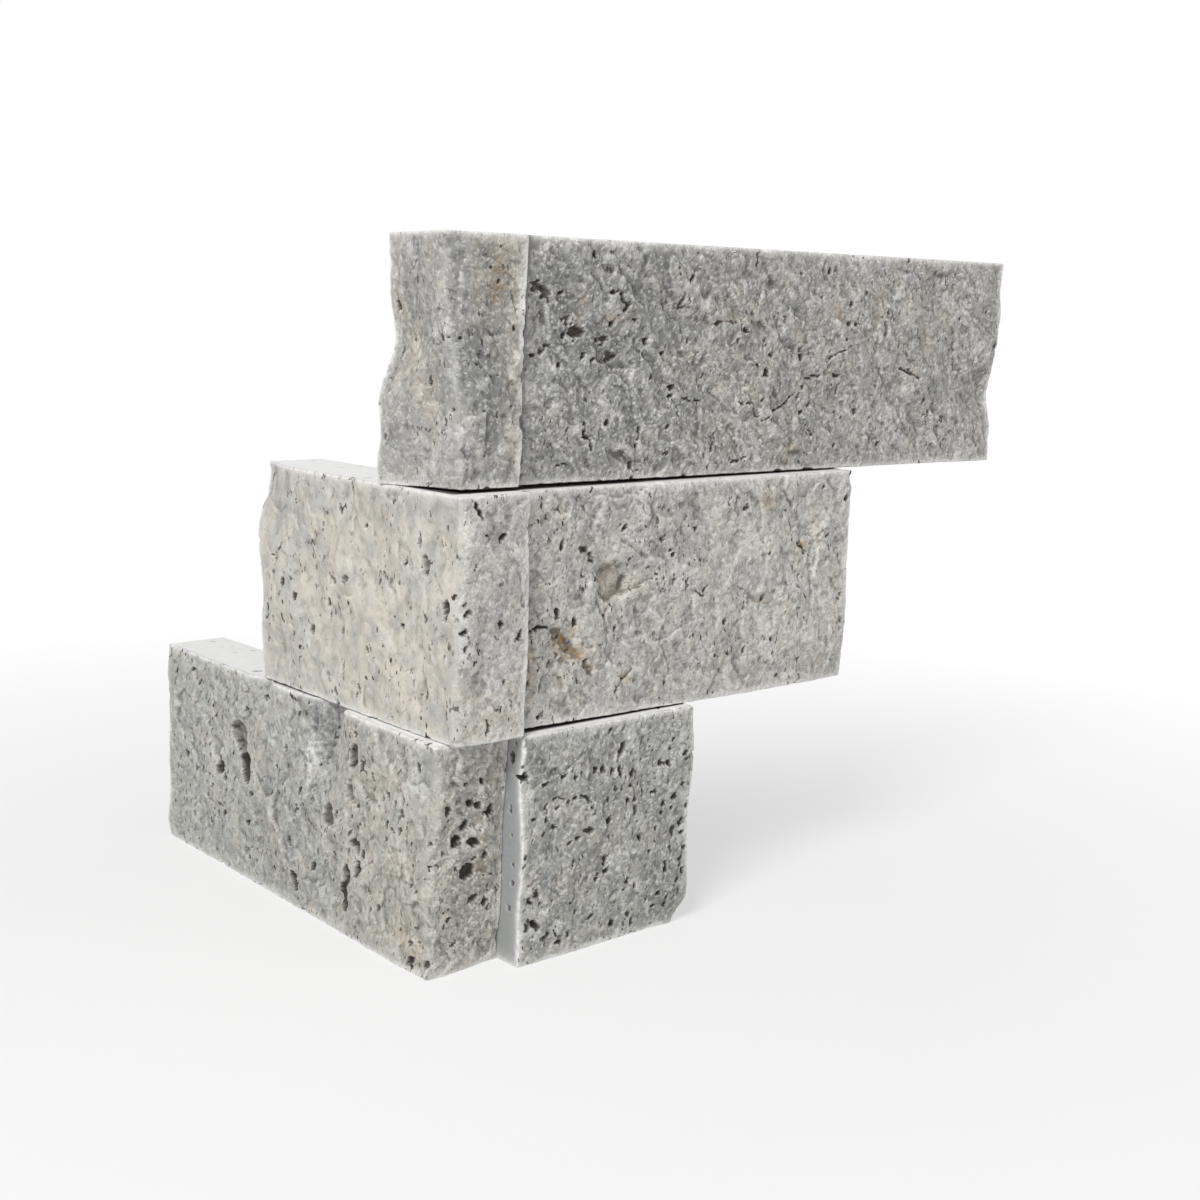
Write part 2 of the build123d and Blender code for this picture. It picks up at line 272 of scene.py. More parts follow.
MIDDLE_LEFT = Strip(
    "middle_left_strip", "cream_travertine",
    course=1, run=58.0, cell=0.33, deep_cell=0.33, joint=0.1, closes=90.0,
    face=Split(
        reach=17.2, lean=0.8, taper=1.4, twist=-1.2, phase=2.6,
        texture=Texture(
            flake=0.45, facet=0.26, crystal=0.05, grain=0.02, streak=0.16, slant=0.1, pitted=0.12
        ),
        swells=[
            Swell(0.0, 31.0, 12.0, 9.0, 0.3),
            Swell(0.0, 48.0, 7.0, 10.0, -3.0),
            Swell(0.0, 13.0, 10.0, 8.0, 0.7),
            Swell(44.0, 22.0, 14.0, 16.0, 0.6),
        ],
        vugs=[
            Vug(65.7, 35.2, 2.4, 1.3, 1.8, 98.0, 0.3, 0.4),
            Vug(64.2, 40.0, 2.0, 0.6, 0.9, 92.0, 0.5, 0.5),
            Vug(73.3, 27.9, 1.6, 1.1, 1.9, 95.0, 1.0, 0.5),
            Vug(22.3, 15.3, 1.3, 1.1, 1.5, 60.0, 0.8, 0.6),
            Vug(26.8, 30.8, 1.9, 0.8, 0.9, 65.0, 0.3),
            Vug(31.6, 27.6, 2.1, 1.1, 0.9, -40.0, 0.3),
            Vug(37.4, 28.6, 1.8, 1.2, 0.9, 20.0, 0.3),
            Vug(34.1, 16.6, 1.0, 0.6, 0.8, 60.0, 0.5),
            Vug(29.0, 5.9, 1.3, 0.5, 0.8, -65.0, 0.5),
            Vug(34.5, 9.4, 1.3, 0.6, 0.7, 80.0, 0.5),
            Vug(79.0, 16.5, 1.2, 0.5, 1.0, 70.0, 0.7, 0.5),
        ] + pits(
            (65.5, 36.9, 0.7, 0), (73.0, 25.6, 0.8, 80), (59.4, 34.8, 1.0, 65), (17.6, 10.3, 0.8, 130),
            (27.9, 39.1, 0.6, 60), (27.5, 37.7, 0.5, 60), (5.8, 25.7, 0.9, 10), (13.8, 25.3, 0.9, 30),
            (51.5, 31.4, 1.0, 120), (56.5, 30.2, 0.6, 30), (56.9, 21.5, 0.9, 160), (49.2, 19.5, 0.6, 80),
            (60.1, 25.6, 0.7, 30), (40.3, 4.0, 0.9, 60), (78.4, 23.0, 0.7, 10), (44.6, 40.8, 0.7, 30),
        ),
        cracks=[
            Crack([(38.3, 50.0), (39.4, 46.9), (38.7, 45.2)], 0.32, 0.9),
            Crack([(34.1, 43.6), (34.8, 42.1)], 0.26, 0.7),
            Crack([(9.5, 32.6), (7.9, 30.3), (6.7, 27.3)], 0.3, 0.9),
            Crack([(5.0, 29.6), (7.9, 30.3)], 0.25, 0.7),
        ],
        tints=stains(
            "warm", (42.0, 20.0, 50.0, 36.0, 0.85),
        ) + stains(
            "shade", (62.0, 46.0, 22.0, 5.0, 0.2), (4.0, 46.0, 8.0, 8.0, 0.2),
        ),
    ),
    end=Split(
        reach=19.8, lean=0.4, taper=-0.3, twist=0.0, phase=0.9,
        texture=Texture(
            flake=0.4, facet=0.28, crystal=0.18, grain=0.04, streak=0.1, slant=0.0, pitted=0.06
        ),
        vugs=[
            Vug(10.0, 41.4, 1.2, 0.9, 1.3, 20.0, 0.9),
        ] + pits(
            (3.7, 48.0, 0.8, 110), (4.6, 46.6, 0.9, 130), (6.2, 42.1, 0.7, 0), (1.5, 23.1, 1.1, 20),
            (1.8, 20.0, 0.8, 60), (1.8, 28.7, 0.8, 60), (2.3, 26.8, 1.0, 30), (11.8, 12.0, 0.6, 40),
        ),
        cracks=[Crack([(7.7, 5.0), (8.1, 3.4), (7.2, 1.6)], 0.25, 0.6)],
        tints=stains(
            "warm", (8.0, 4.0, 16.0, 11.0, 0.8), (3.0, 34.0, 5.0, 6.0, 0.6),
        ) + stains(
            "shade", (10.0, 43.0, 9.0, 9.0, 0.25), (14.0, 22.0, 6.0, 9.0, 0.15),
        ),
    ),
    chips=[Chip(79.4, 0.0, 0.0, 1.8, 4.0)],
)

MIDDLE_RIGHT = Strip(
    "middle_right_strip", "cream_travertine",
    course=1, run=99.0, cell=0.32, deep_cell=1.3, joint=0.7, closes=70.0,
    face=Split(
        reach=17.3, lean=0.6, taper=1.4, twist=0.0, phase=1.2,
        texture=Texture(
            flake=0.85, facet=0.4, crystal=0.2, grain=0.045, streak=0.02, slant=0.2, pitted=0.1
        ),
        swells=[
            Swell(23.0, 31.0, 9.0, 9.0, -1.0),
            Swell(62.0, 25.0, 22.0, 18.0, 0.9),
            Swell(97.0, 0.0, 6.0, 4.0, -0.7),
            Swell(99.0, 15.0, 12.0, 8.0, 0.7),
            Swell(99.0, 40.0, 12.0, 7.0, -0.6),
        ],
        ledges=[
            Ledge([(21, 19), (24, 23), (26, 25), (29, 26.5), (32, 27), (37, 30)], 1.0, 5.0),
            Ledge([(19, 51), (22, 49), (24, 47.4), (31, 47.6), (36, 51)], 0.8, 3.0),
            Ledge([(36, 8), (40, 15), (47, 19), (52, 19)], 0.5, 6.0),
            Ledge([(58, 34), (60, 27), (66, 22), (72, 20), (80, 24)], 0.6, 6.0),
            Ledge([(84, 12), (88, 20), (86, 30), (90, 38)], 0.6, 5.0),
        ],
        vugs=[
            Vug(25.8, 28.9, 5.2, 4.6, 1.7, 115.0, 0.05, 0.7, 0.9),
            Vug(17.0, 36.7, 1.9, 0.8, 1.2, 160.0, 0.55),
            Vug(19.6, 34.6, 1.8, 0.9, 1.4, 125.0, 0.55),
            Vug(28.8, 28.9, 2.2, 0.7, 1.6, 85.0, 0.6),
            Vug(10.6, 38.3, 1.3, 0.75, 1.5, 85.0, 1.0, 0.6),
            Vug(38.3, 37.7, 1.1, 0.8, 1.0, 50.0, 0.6),
            Vug(12.4, 17.2, 6.4, 1.5, 1.3, -42.0, 0.16, 0.8, 0.5),
            Vug(13.6, 16.8, 1.6, 0.6, 1.4, -60.0, 0.6, 0.8),
            Vug(18.9, 11.0, 2.4, 1.0, 1.0, -50.0, 0.25, 0.8, 0.5),
            Vug(3.0, 13.5, 1.7, 0.7, 0.9, 75.0, 0.45),
            Vug(2.7, 9.6, 1.4, 0.6, 0.8, 80.0, 0.3),
            Vug(26.6, 5.4, 1.3, 0.6, 0.9, 80.0, 0.5),
            Vug(63.5, 43.2, 1.2, 0.6, 0.9, 30.0, 0.7),
        ] + pits(
            (23.1, 21.7, 0.9, 60), (28.1, 40.7, 1.1, 50), (42.0, 33.9, 0.8, 30), (41.0, 35.0, 0.6, 0),
            (17.6, 12.6, 1.0, 40), (4.6, 21.2, 1.1, 20), (26.2, 19.0, 0.7, 80), (26.3, 17.4, 0.6, 60),
            (97.0, 43.6, 1.2, 50), (48.7, 39.1, 0.8, 20), (70.5, 32.4, 0.7, 60), (91.1, 35.0, 0.9, 20),
            (70.4, 21.9, 1.0, 100), (58.0, 17.6, 0.8, 60), (65.1, 10.3, 0.9, 80), (76.9, 2.8, 0.8, 60),
            (6.2, 2.4, 1.0, 50), (13.8, 15.4, 0.7, 20), (11.0, 18.6, 0.7, 40), (82.0, 26.0, 0.7, 50),
        ),
        cracks=[
            Crack([(1.0, 19.0), (3.0, 20.8), (5.0, 21.3), (7.4, 21.2)], 0.4, 1.2),
            Crack([(26.5, 6.2), (28.5, 7.6), (31.0, 9.6)], 0.4, 1.1),
            Crack([(46.0, 28.2), (45.8, 26.4)], 0.26, 0.7),
            Crack([(48.6, 25.2), (50.1, 23.8), (51.4, 25.4), (52.1, 26.6)], 0.26, 0.8),
            Crack([(81.5, 33.8), (83.3, 32.6), (84.8, 31.0)], 0.3, 0.8),
            Crack([(57.6, 45.6), (58.0, 42.8)], 0.26, 0.7),
        ],
        tints=stains(
            "warm", (25.8, 28.9, 4.8, 4.8, 1.3), (23.5, 37.0, 5.0, 3.5, 0.6),
            (14.0, 12.0, 12.0, 10.0, 0.3), (78.0, 16.0, 30.0, 26.0, 0.6), (6.0, 36.0, 8.0, 12.0, 0.3),
        ) + stains(
            "rust", (25.8, 28.9, 3.8, 4.0, 0.3), (11.0, 18.4, 2.8, 2.8, 0.9),
            (15.0, 15.2, 2.8, 2.8, 0.9), (19.0, 11.0, 1.8, 1.8, 0.6), (3.0, 13.0, 1.6, 4.0, 0.75),
            (2.6, 8.6, 1.4, 3.0, 0.5), (82.9, 33.2, 2.0, 1.6, 0.9), (70.4, 43.9, 3.0, 2.0, 0.5),
            (28.5, 7.6, 2.4, 2.0, 0.5), (70.4, 21.6, 2.0, 1.6, 0.4),
        ) + stains(
            "shade", (52.0, 40.0, 16.0, 8.0, 0.15),
        ) + stains(
            "chalk", (18.0, 30.5, 2.4, 3.5, 0.7), (25.0, 37.5, 4.0, 4.0, 0.5),
            (80.0, 24.0, 28.0, 28.0, 0.34),
        ),
    ),
)

UPPER_LEFT = Strip(
    "upper_left_strip", "silver_travertine",
    course=2, run=8.0, cell=0.28, deep_cell=0.28, joint=0.65, closes=24.0,
    face=Split(
        reach=17.3, lean=3.0, taper=0.6, twist=9.0, phase=4.1,
        texture=Texture(
            flake=0.5, facet=0.4, crystal=0.16, grain=0.045, streak=0.3, slant=0.0, pitted=0.1
        ),
        swells=[
            Swell(0.0, 29.0, 12.0, 7.5, -3.0),
            Swell(1.0, 17.0, 9.0, 6.0, 1.6),
            Swell(0.0, 4.0, 10.0, 6.0, 1.2),
        ],
        vugs=pits(
            (20.0, 31.2, 0.8, 70), (23.2, 29.9, 0.45, 0), (23.9, 29.2, 0.4, 0), (8.0, 29.0, 0.7, 110),
        ),
        tints=stains(
            "warm", (2.5, 45.0, 3.0, 7.0, 0.8), (3.5, 37.0, 3.0, 6.0, 0.8), (6.0, 30.0, 3.5, 5.0, 0.9),
            (9.0, 25.0, 4.0, 4.5, 0.9), (12.5, 19.5, 4.5, 4.5, 1.0), (15.0, 15.0, 4.0, 3.5, 0.6),
        ) + stains(
            "chalk", (22.6, 31.0, 2.0, 4.0, 0.45),
        ) + stains(
            "shade", (13.0, 25.0, 20.0, 40.0, 0.14),
        ),
    ),
    end=Split(
        reach=16.5, lean=1.6, taper=0.6, twist=0.0, phase=3.3,
        texture=Texture(
            flake=0.6, facet=0.45, crystal=0.18, grain=0.05, streak=0.06, slant=0.2, pitted=0.06
        ),
        vugs=pits(
            (15.0, 31.7, 0.8, 80), (14.1, 16.3, 0.5, 0), (6.6, 15.5, 0.4, 0), (7.5, 6.6, 0.4, 0),
            (11.6, 40.8, 0.6, 60), (9.8, 43.4, 0.5, 80), (2.4, 29.8, 0.5, 0), (5.4, 24.6, 0.5, 130),
        ),
        tints=stains(
            "warm", (12.0, 40.0, 5.5, 13.0, 1.5), (14.5, 24.0, 4.5, 24.0, 1.6),
        ) + stains(
            "rust", (11.6, 41.0, 1.8, 4.0, 0.6),
        ) + stains(
            "chalk", (0.0, 30.5, 1.6, 3.5, 0.4),
        ) + stains(
            "shade", (7.0, 22.0, 12.0, 28.0, 0.62),
        ),
    ),
)

UPPER_RIGHT = Strip(
    "upper_right_strip", "silver_travertine",
    course=2, run=155.0, cell=0.34, deep_cell=1.4, joint=0.7, closes=150.0,
    face=Split(
        reach=15.6, lean=2.6, taper=0.6, twist=0.0, phase=3.7,
        texture=Texture(
            flake=0.95, facet=0.42, crystal=0.24, grain=0.05, streak=0.04, slant=0.45, pitted=0.1
        ),
        swells=[
            Swell(155.0, 17.0, 12.0, 6.5, -1.2),
            Swell(152.0, 3.0, 14.0, 12.0, 1.4),
            Swell(40.0, 24.0, 22.0, 14.0, -0.9),
            Swell(96.0, 30.0, 26.0, 18.0, 0.8),
            Swell(97.0, 51.0, 5.0, 3.0, -1.8),
        ],
        ledges=[
            Ledge([(22, 21), (27, 24), (32, 24), (33, 31)], 0.7, 4.0),
            Ledge([(36, 44), (38, 36), (44, 33), (46, 26)], 0.6, 5.0),
            Ledge([(30, 12), (33, 4), (38, 2)], 0.6, 4.0),
            Ledge([(70, 40), (74, 30), (82, 26), (84, 16)], 0.7, 5.0),
            Ledge([(112, 46), (110, 36), (116, 28), (114, 20)], 0.8, 5.0),
            Ledge([(130, 30), (134, 20), (140, 14), (142, 4)], 0.6, 5.0),
        ],
        vugs=[
            Vug(4.5, 39.6, 3.0, 1.0, 1.2, -25.0, 0.75, 1.6),
            Vug(14.5, 31.3, 2.6, 1.6, 1.6, 0.0, 0.75, 1.6),
            Vug(12.0, 33.7, 1.8, 1.1, 1.0, 60.0, 0.65, 1.6),
            Vug(6.0, 27.4, 2.0, 0.9, 1.2, 25.0, 0.7, 1.6),
            Vug(21.7, 29.2, 1.8, 0.9, 1.0, 0.0, 0.6, 1.6),
            Vug(24.8, 25.6, 2.0, 0.9, 1.1, 40.0, 0.6, 1.6),
            Vug(43.7, 38.0, 2.0, 0.8, 1.2, 80.0, 0.7, 1.5),
            Vug(45.6, 43.3, 1.8, 0.7, 1.0, 45.0, 0.7, 1.5),
            Vug(110.0, 33.0, 2.4, 0.8, 0.9, 100.0, 0.35),
        ] + pits(
            (10.0, 39.0, 1.0, 20), (6.7, 37.5, 0.8, 120), (11.0, 30.5, 1.0, 40), (3.4, 26.4, 0.9, 0),
            (22.8, 39.4, 0.9, 30), (23.4, 33.0, 0.9, 20), (19.4, 25.5, 0.9, 30), (16.5, 26.3, 1.0, 50),
            (33.5, 29.4, 1.1, 85), (38.9, 27.0, 0.9, 40), (42.0, 19.6, 0.9, 10), (42.0, 17.8, 0.9, 10),
            (24.2, 12.3, 0.9, 40), (41.1, 11.2, 0.8, 30), (35.7, 22.1, 0.9, 75), (69.7, 23.0, 1.2, 85),
            (30.0, 34.0, 0.8, 0), (17.7, 46.8, 1.0, 130), (76.0, 37.0, 0.7, 60), (81.6, 28.0, 0.9, 70),
            (95.6, 30.4, 0.8, 20), (96.6, 34.2, 0.9, 80), (99.0, 34.0, 0.8, 0), (118.0, 23.6, 0.9, 10),
            (120.4, 23.0, 0.8, 140), (101.0, 13.6, 1.0, 110), (85.6, 15.4, 0.8, 30), (83.0, 13.6, 0.8, 40),
            (127.5, 16.0, 0.9, 80), (95.4, 5.4, 1.0, 60), (111.6, 5.4, 0.9, 20), (71.6, 26.8, 0.9, 150),
            (83.0, 19.4, 0.7, 100), (60.0, 30.0, 0.7, 100), (52.0, 22.0, 0.7, 80), (139.0, 36.0, 0.9, 90),
        ),
        cracks=[
            Crack([(25.2, 39.3), (26.1, 37.8), (27.8, 36.8), (26.7, 36.0)], 0.36, 1.0),
            Crack([(42.6, 16.6), (43.2, 15.8), (43.8, 14.0)], 0.36, 1.1),
            Crack([(44.5, 17.5), (47.7, 16.7), (51.3, 16.6)], 0.28, 0.9),
            Crack([(62.7, 16.1), (66.4, 15.6), (67.9, 13.8), (69.1, 12.4)], 0.26, 0.8),
            Crack([(70.0, 11.6), (72.5, 13.0), (76.2, 14.8), (80.4, 18.0)], 0.28, 0.9),
            Crack([(18.0, 12.1), (17.9, 10.1), (19.1, 9.0), (20.0, 7.3)], 0.38, 1.2),
            Crack([(34.1, 11.3), (33.8, 9.0), (33.3, 6.5)], 0.32, 1.0),
            Crack([(56.5, 10.0), (55.4, 6.0), (54.8, 4.8)], 0.26, 0.8),
            Crack([(61.4, 2.5), (66.1, 3.6)], 0.26, 0.7),
            Crack([(65.3, 50.5), (65.9, 45.9)], 0.24, 0.7),
            Crack([(52.4, 33.1), (54.4, 34.0), (58.0, 34.2), (60.6, 33.3)], 0.24, 0.6),
            Crack([(10.3, 3.6), (11.2, 3.9), (14.1, 3.7)], 0.24, 0.7),
            Crack([(89.6, 25.4), (94.0, 27.6), (98.4, 29.2)], 0.24, 0.7),
            Crack([(84.0, 21.6), (88.6, 21.8)], 0.26, 0.8),
            Crack([(92.8, 21.8), (95.0, 21.8)], 0.3, 0.9),
            Crack([(119.0, 23.4), (122.0, 22.2), (124.4, 21.0)], 0.28, 0.9),
            Crack([(128.6, 12.2), (129.6, 10.0), (130.8, 8.4)], 0.28, 0.9),
            Crack([(85.4, 10.4), (88.0, 8.4)], 0.28, 0.8),
        ],
        tints=stains(
            "shade", (10.0, 33.0, 14.0, 8.0, 0.4), (27.0, 25.5, 7.0, 4.0, 0.35),
            (20.0, 25.0, 32.0, 40.0, 0.45), (44.0, 14.0, 16.0, 9.0, 0.1), (110.0, 32.0, 3.0, 7.0, 0.35),
        ) + stains(
            "warm", (122.0, 36.0, 16.0, 12.0, 0.4), (96.0, 34.0, 10.0, 10.0, 0.4),
            (60.0, 28.0, 12.0, 16.0, 0.4),
        ) + stains(
            "rust", (27.2, 34.6, 2.4, 1.6, 0.6), (23.0, 33.6, 1.8, 1.6, 0.6),
            (13.6, 34.0, 1.6, 2.0, 0.5), (15.6, 37.8, 1.2, 1.6, 0.5), (57.0, 34.4, 4.0, 1.4, 0.4),
            (92.0, 37.4, 3.0, 2.4, 0.35), (107.0, 39.4, 2.4, 3.0, 0.4), (79.6, 4.4, 3.0, 2.4, 0.45),
            (101.2, 13.2, 1.6, 1.8, 0.4),
        ) + stains(
            "chalk", (22.0, 36.6, 5.0, 3.0, 0.45), (24.0, 17.0, 4.0, 2.0, 0.4),
            (97.0, 48.5, 3.0, 2.4, 0.8), (125.0, 25.0, 34.0, 40.0, 0.12),
        ),
    ),
)

LEFT_STRIPS = (LOWER_LEFT, MIDDLE_LEFT, UPPER_LEFT)
RIGHT_STRIPS = (LOWER_RIGHT, MIDDLE_RIGHT, UPPER_RIGHT)

# Random draws: the highest number of a table's row, the height that noise is brought to, and the shifts
# and salts that keep one noise or facet field from repeating another
WRAP = 255
NOISE_GAIN = 1.7
OCTAVE_SHIFT = 17.3
SPLIT_SHIFT = 31.0
BEND_SHIFT = 50.0
GRAIN_SHIFT = 5.0
STREAK_SHIFT = 3.0
PATCH_SHIFT = 7.0
CHIP_SHIFT = 40.0
RAGGED_SHIFT = 11.0
SPLIT_SALT = 40
FACET_SALT = 90
CRYSTAL_SALT = 30
JAG_SALT = 60

# Flakes, facets and crystals of a split: size, sharpness of their edges, how far they are bent, and how
# much each adds to the tone
FLAKE_SIZE = 5.4
FLAKE_STRETCH = 1.5
FLAKE_EDGE = 14.0
FLAKE_BEND = 1.3
FACET_SIZE = 2.5
FACET_EDGE = 8.0
FACET_BEND = 0.5
FACET_TILT = 1.3
CRYSTAL_SIZE = 1.15
CRYSTAL_EDGE = 10.0
CRYSTAL_BEND = 0.4
BEND_SIZE = 4.5
FLAKE_TONE = 0.5
FACET_TONE = 0.6
CRYSTAL_TONE = 0.8

# Grains and streaks, and how the relief calms down beside an arris
GRAIN_SIZE = 1.3
STREAK_SIZE = 2.6
STREAK_STRETCH = 6.0
CALM_EDGE = 2.2
CALM_LEAST = 0.35
FINE_SETBACK = 0.45

# Ragged outlines of holes: the jag of each grain, and how far it moves ledges, cracks and pits
JAG_SIZE = 1.0
JAG_EDGE = 20.0
JAG = 1.1
JAG_CAP = 0.9
JAG_BEND = 0.2
JAG_SHARE = 0.6
CRACK_GAPE = 1.7
GAPE_LIMITS = (0.2, 1.4)

# Scattered pits: least radius and range of it as shares of their spacing, depth as a share of the
# radius, and the patches in which they lie closer
PIT_SPACING = 2.4
PIT_RADIUS = 0.1
PIT_RADIUS_RANGE = 0.24
PIT_HOLLOW = 1.3
PATCH_SIZE = 15.0
PATCH_MEAN = 0.35
PATCH_RANGE = 1.3
PATCH_LIMITS = (0.03, 1.0)

# Section of a vug: where its wall starts and ends, as shares of its outline, and what the wall and the
# bowl inside it add to the depth
VUG_WALL = (1.05, 0.6)
VUG_WALL_SHARE = 0.7
VUG_BOWL_SHARE = 0.3

# Depths over which a hole turns dark with dirt and painted shade, on a split and on a sawn side
CAVITY_RIM = (0.12, 0.6)
SAWN_CAVITY_FULL = 0.5

# Pits of the sawn sides: none within the first distance from an arris, all beyond the second
SAWN_PIT_SPACING = 3.0
SAWN_PITTED = 0.09
SAWN_PIT_RAGGED = 0.4
SAWN_PIT_CLEAR = (0.3, 0.8)

# Chips and rounding of the arrises
CHIP_SPACING = 5.0
CHIPPED_FROM = (0.3, 0.9)
CHIP_RAGGED = 0.3
RAGGED_SIZE = 1.7
ARRIS_RAGGED = 0.5
RADIUS_LIMITS = (0.05, 4.5)

# Corner of face and end: least arris there, in arrises, the way over which it grows by one more, the
# heights above a bed over which it turns worn, and its reach
CORNER_LEAST = 1.5
CORNER_OPENS = 2.0
CORNER_WORN = (0.5, 5.0)
CORNER_SPREAD = 3.0
CORNER_REACH = 2.6

# Rough break of a lost corner
BREAK_ROUGH = 0.5
BREAK_SIZE = 3.0

# Cells kept narrow beside every arris, the cells that the back's rings pass through, the widest cell
# inwards that can carry pits on a bed, and how steeply the relief of an end runs out along the strip
ARRIS_BAND = np.array([0.0, 0.16, 0.36, 0.62, 0.95, 1.32])
BACK_RINGS = (1, 4, 9)
FINE_DEEP_CELL = 0.6
END_SHIFT_POWER = 3

# Depth over which a split side turns into a sawn one
SPLIT_FADE = (0.1, 1.0)

# How far a vertex stands out where the marks for painted highlights on rims, painted shade in crevices and
#  painted shade in hollows are full, steps to the wider mean, and the strength of crystals in the colour
RIM_FULL = 0.055
CREST_FULL = 0.35
WIDE_STEPS = 14
SPARKLE = 4.5

# Pale lines by an arris, partly bruised edge and partly painted highlight: widths, strengths, and the share
#  that is left at the corner of face and end
ARRIS_NARROW = 0.75
ARRIS_WIDE = 2.0
NARROW_LINE = 0.8
WIDE_LINE = 0.3
CORNER_LINE = 0.15

# Painted shade: a dark line along a butt joint, and its fade on a bed under the strip above
JOINT_SHADE = 0.9
JOINT_WIDE = 1.3
JOINT_FADE = (0.4, 2.4)

# Camera, fitted to the picture's edges: metres, degrees, and millimetres for the lens and the sensor
CAMERA_PLACE = (-0.21027, -0.27883, 0.13733)
CAMERA_HEADING = 41.45
CAMERA_DIP = 9.95
CAMERA_ROLL = 1.62
CAMERA_LENS = 50.78
SENSOR = 36.0
CLIP_START = 0.01

# Stage in metres: half the floor's side, distances over which it fades, shares of white there, the
# lights' places and sizes, and the point that they look at
FLOOR_REACH = 4.0
FLOOR_FADE = (0.1, 0.36, 0.5, 1.0)
LIT_POINT = (0.03, 0.0, 0.075)
KEY_PLACE = (-0.75, -0.4, 0.8)
KEY_SIZE = 0.4
FILL_PLACE = (0.5, -0.9, 0.5)
FILL_SIZE = 0.8
WHITE = (1.0, 1.0, 1.0, 1.0)


def colour(name, description, default):
    """Colour property with the usual limits."""
    return FloatVectorProperty(
        name=name, description=description, subtype="COLOR", size=3, min=0.0, max=1.0, default=default
    )


class TravertineColours(bpy.types.PropertyGroup):
    """Colours of the stone, by course."""

    pitted_grey: colour("Lower grey", "Body of the lowest course", (0.385, 0.392, 0.358))
    pitted_warm: colour("Lower beige", "Warm zones of the lowest course", (0.47, 0.435, 0.37))
    cream_grey: colour("Middle grey", "Body of the middle course", (0.475, 0.465, 0.435))
    cream_warm: colour("Middle beige", "Warm zones of the middle course", (0.585, 0.54, 0.465))
    silver_grey: colour("Upper grey", "Body of the highest course", (0.37, 0.363, 0.343))
    silver_warm: colour("Upper beige", "Warm zones of the highest course", (0.47, 0.425, 0.35))
    shade: colour("Shade", "Dark grey of unsplit crystal", (0.2, 0.205, 0.2))
    # Chalk: bruised edges and calcite, used also for the painted highlights on rims, arrises and glints
    chalk: colour("Chalk", "Bruised edges and calcite", (0.78, 0.77, 0.74))
    rust: colour("Rust", "Iron stain", (0.42, 0.27, 0.1))
    # Pit: the dark of pits and cracks, used also as painted shade in holes, crevices, hollows and joints
    pit: colour("Pit", "Inside of pits and cracks", (0.045, 0.036, 0.028))
    # Sawn: a blue grey, set darker for the shade that the sawn end beside the joint lies in, so partly
    # painted shade
    sawn: colour("Sawn", "Sawn backs and ends", (0.31, 0.322, 0.325))
    # Dust: painted light, the near white of the sawn beds as if lit from above and sheened
    dust: colour("Bed light", "Dusty sawn beds", (0.95, 0.95, 0.94))


class StripSizes(bpy.types.PropertyGroup):
    """Sizes that all strips share."""

    arris: FloatProperty(
        name="Arris", description="Rounding of a sawn arris", default=0.0004, min=0.0, unit="LENGTH"
    )
    corner: FloatProperty(
        name="Corner", description="Rounding between a face and its corner end", default=0.002,
        min=0.0, unit="LENGTH",
    )
    chip: FloatProperty(
        name="Chip", description="Largest chip along an arris", default=0.0014, min=0.0, unit="LENGTH"
    )


class StageSettings(bpy.types.PropertyGroup):
    """Light and floor."""

    key_power: FloatProperty(name="Key", description="Power of the key light", default=9.5, unit="POWER")
    fill_power: FloatProperty(name="Fill", description="Power of the fill light", default=1.3, unit="POWER")
    sky: FloatProperty(
        name="Sky", description="Strength of the even light", default=0.4, min=0.0, max=1.0, subtype="FACTOR"
    )
    floor: colour("Floor", "Pale floor", (0.86, 0.86, 0.86))


def fade(share):
    """Smooth step from 0 to 1, level at both ends."""
    return share * share * share * (share * (share * 6 - 15) + 10)


def smooth_between(low, high, value):
    """0 below low, 1 above high, smooth between."""
    return fade(np.clip((value - low) / (high - low), 0.0, 1.0))


DRAWS = np.random.default_rng(SEED)
SHUFFLE = DRAWS.permutation(WRAP + 1)
SLOPES = DRAWS.normal(size=(WRAP + 1, 3))
SLOPES /= np.linalg.norm(SLOPES, axis=1, keepdims=True)
SCATTER = DRAWS.random((WRAP + 1, 6))


def gradient_noise(points):
    """Gradient noise, about -1 to 1: at each corner of a unit cell a fixed random slope is weighed by
    how near the point is, and the eight are added."""
    cell = np.floor(points).astype(int)
    inside = points - cell
    near = fade(inside)
    total = np.zeros(len(points))
    for corner in np.ndindex(2, 2, 2):
        x, y, z = ((cell + corner) & WRAP).T
        slope = SLOPES[SHUFFLE[(SHUFFLE[(SHUFFLE[x] + y) & WRAP] + z) & WRAP]]
        share = np.prod(np.where(corner, near, 1.0 - near), axis=1)
        total += share * np.einsum("ij,ij->i", slope, inside - corner)
    return NOISE_GAIN * total


def fractal_noise(points, octaves):
    """Gradient noise summed over octaves, each half the size and half the height of the last."""
    return sum(gradient_noise(points * 2.0**k + OCTAVE_SHIFT * k) * 0.5**k for k in range(octaves))


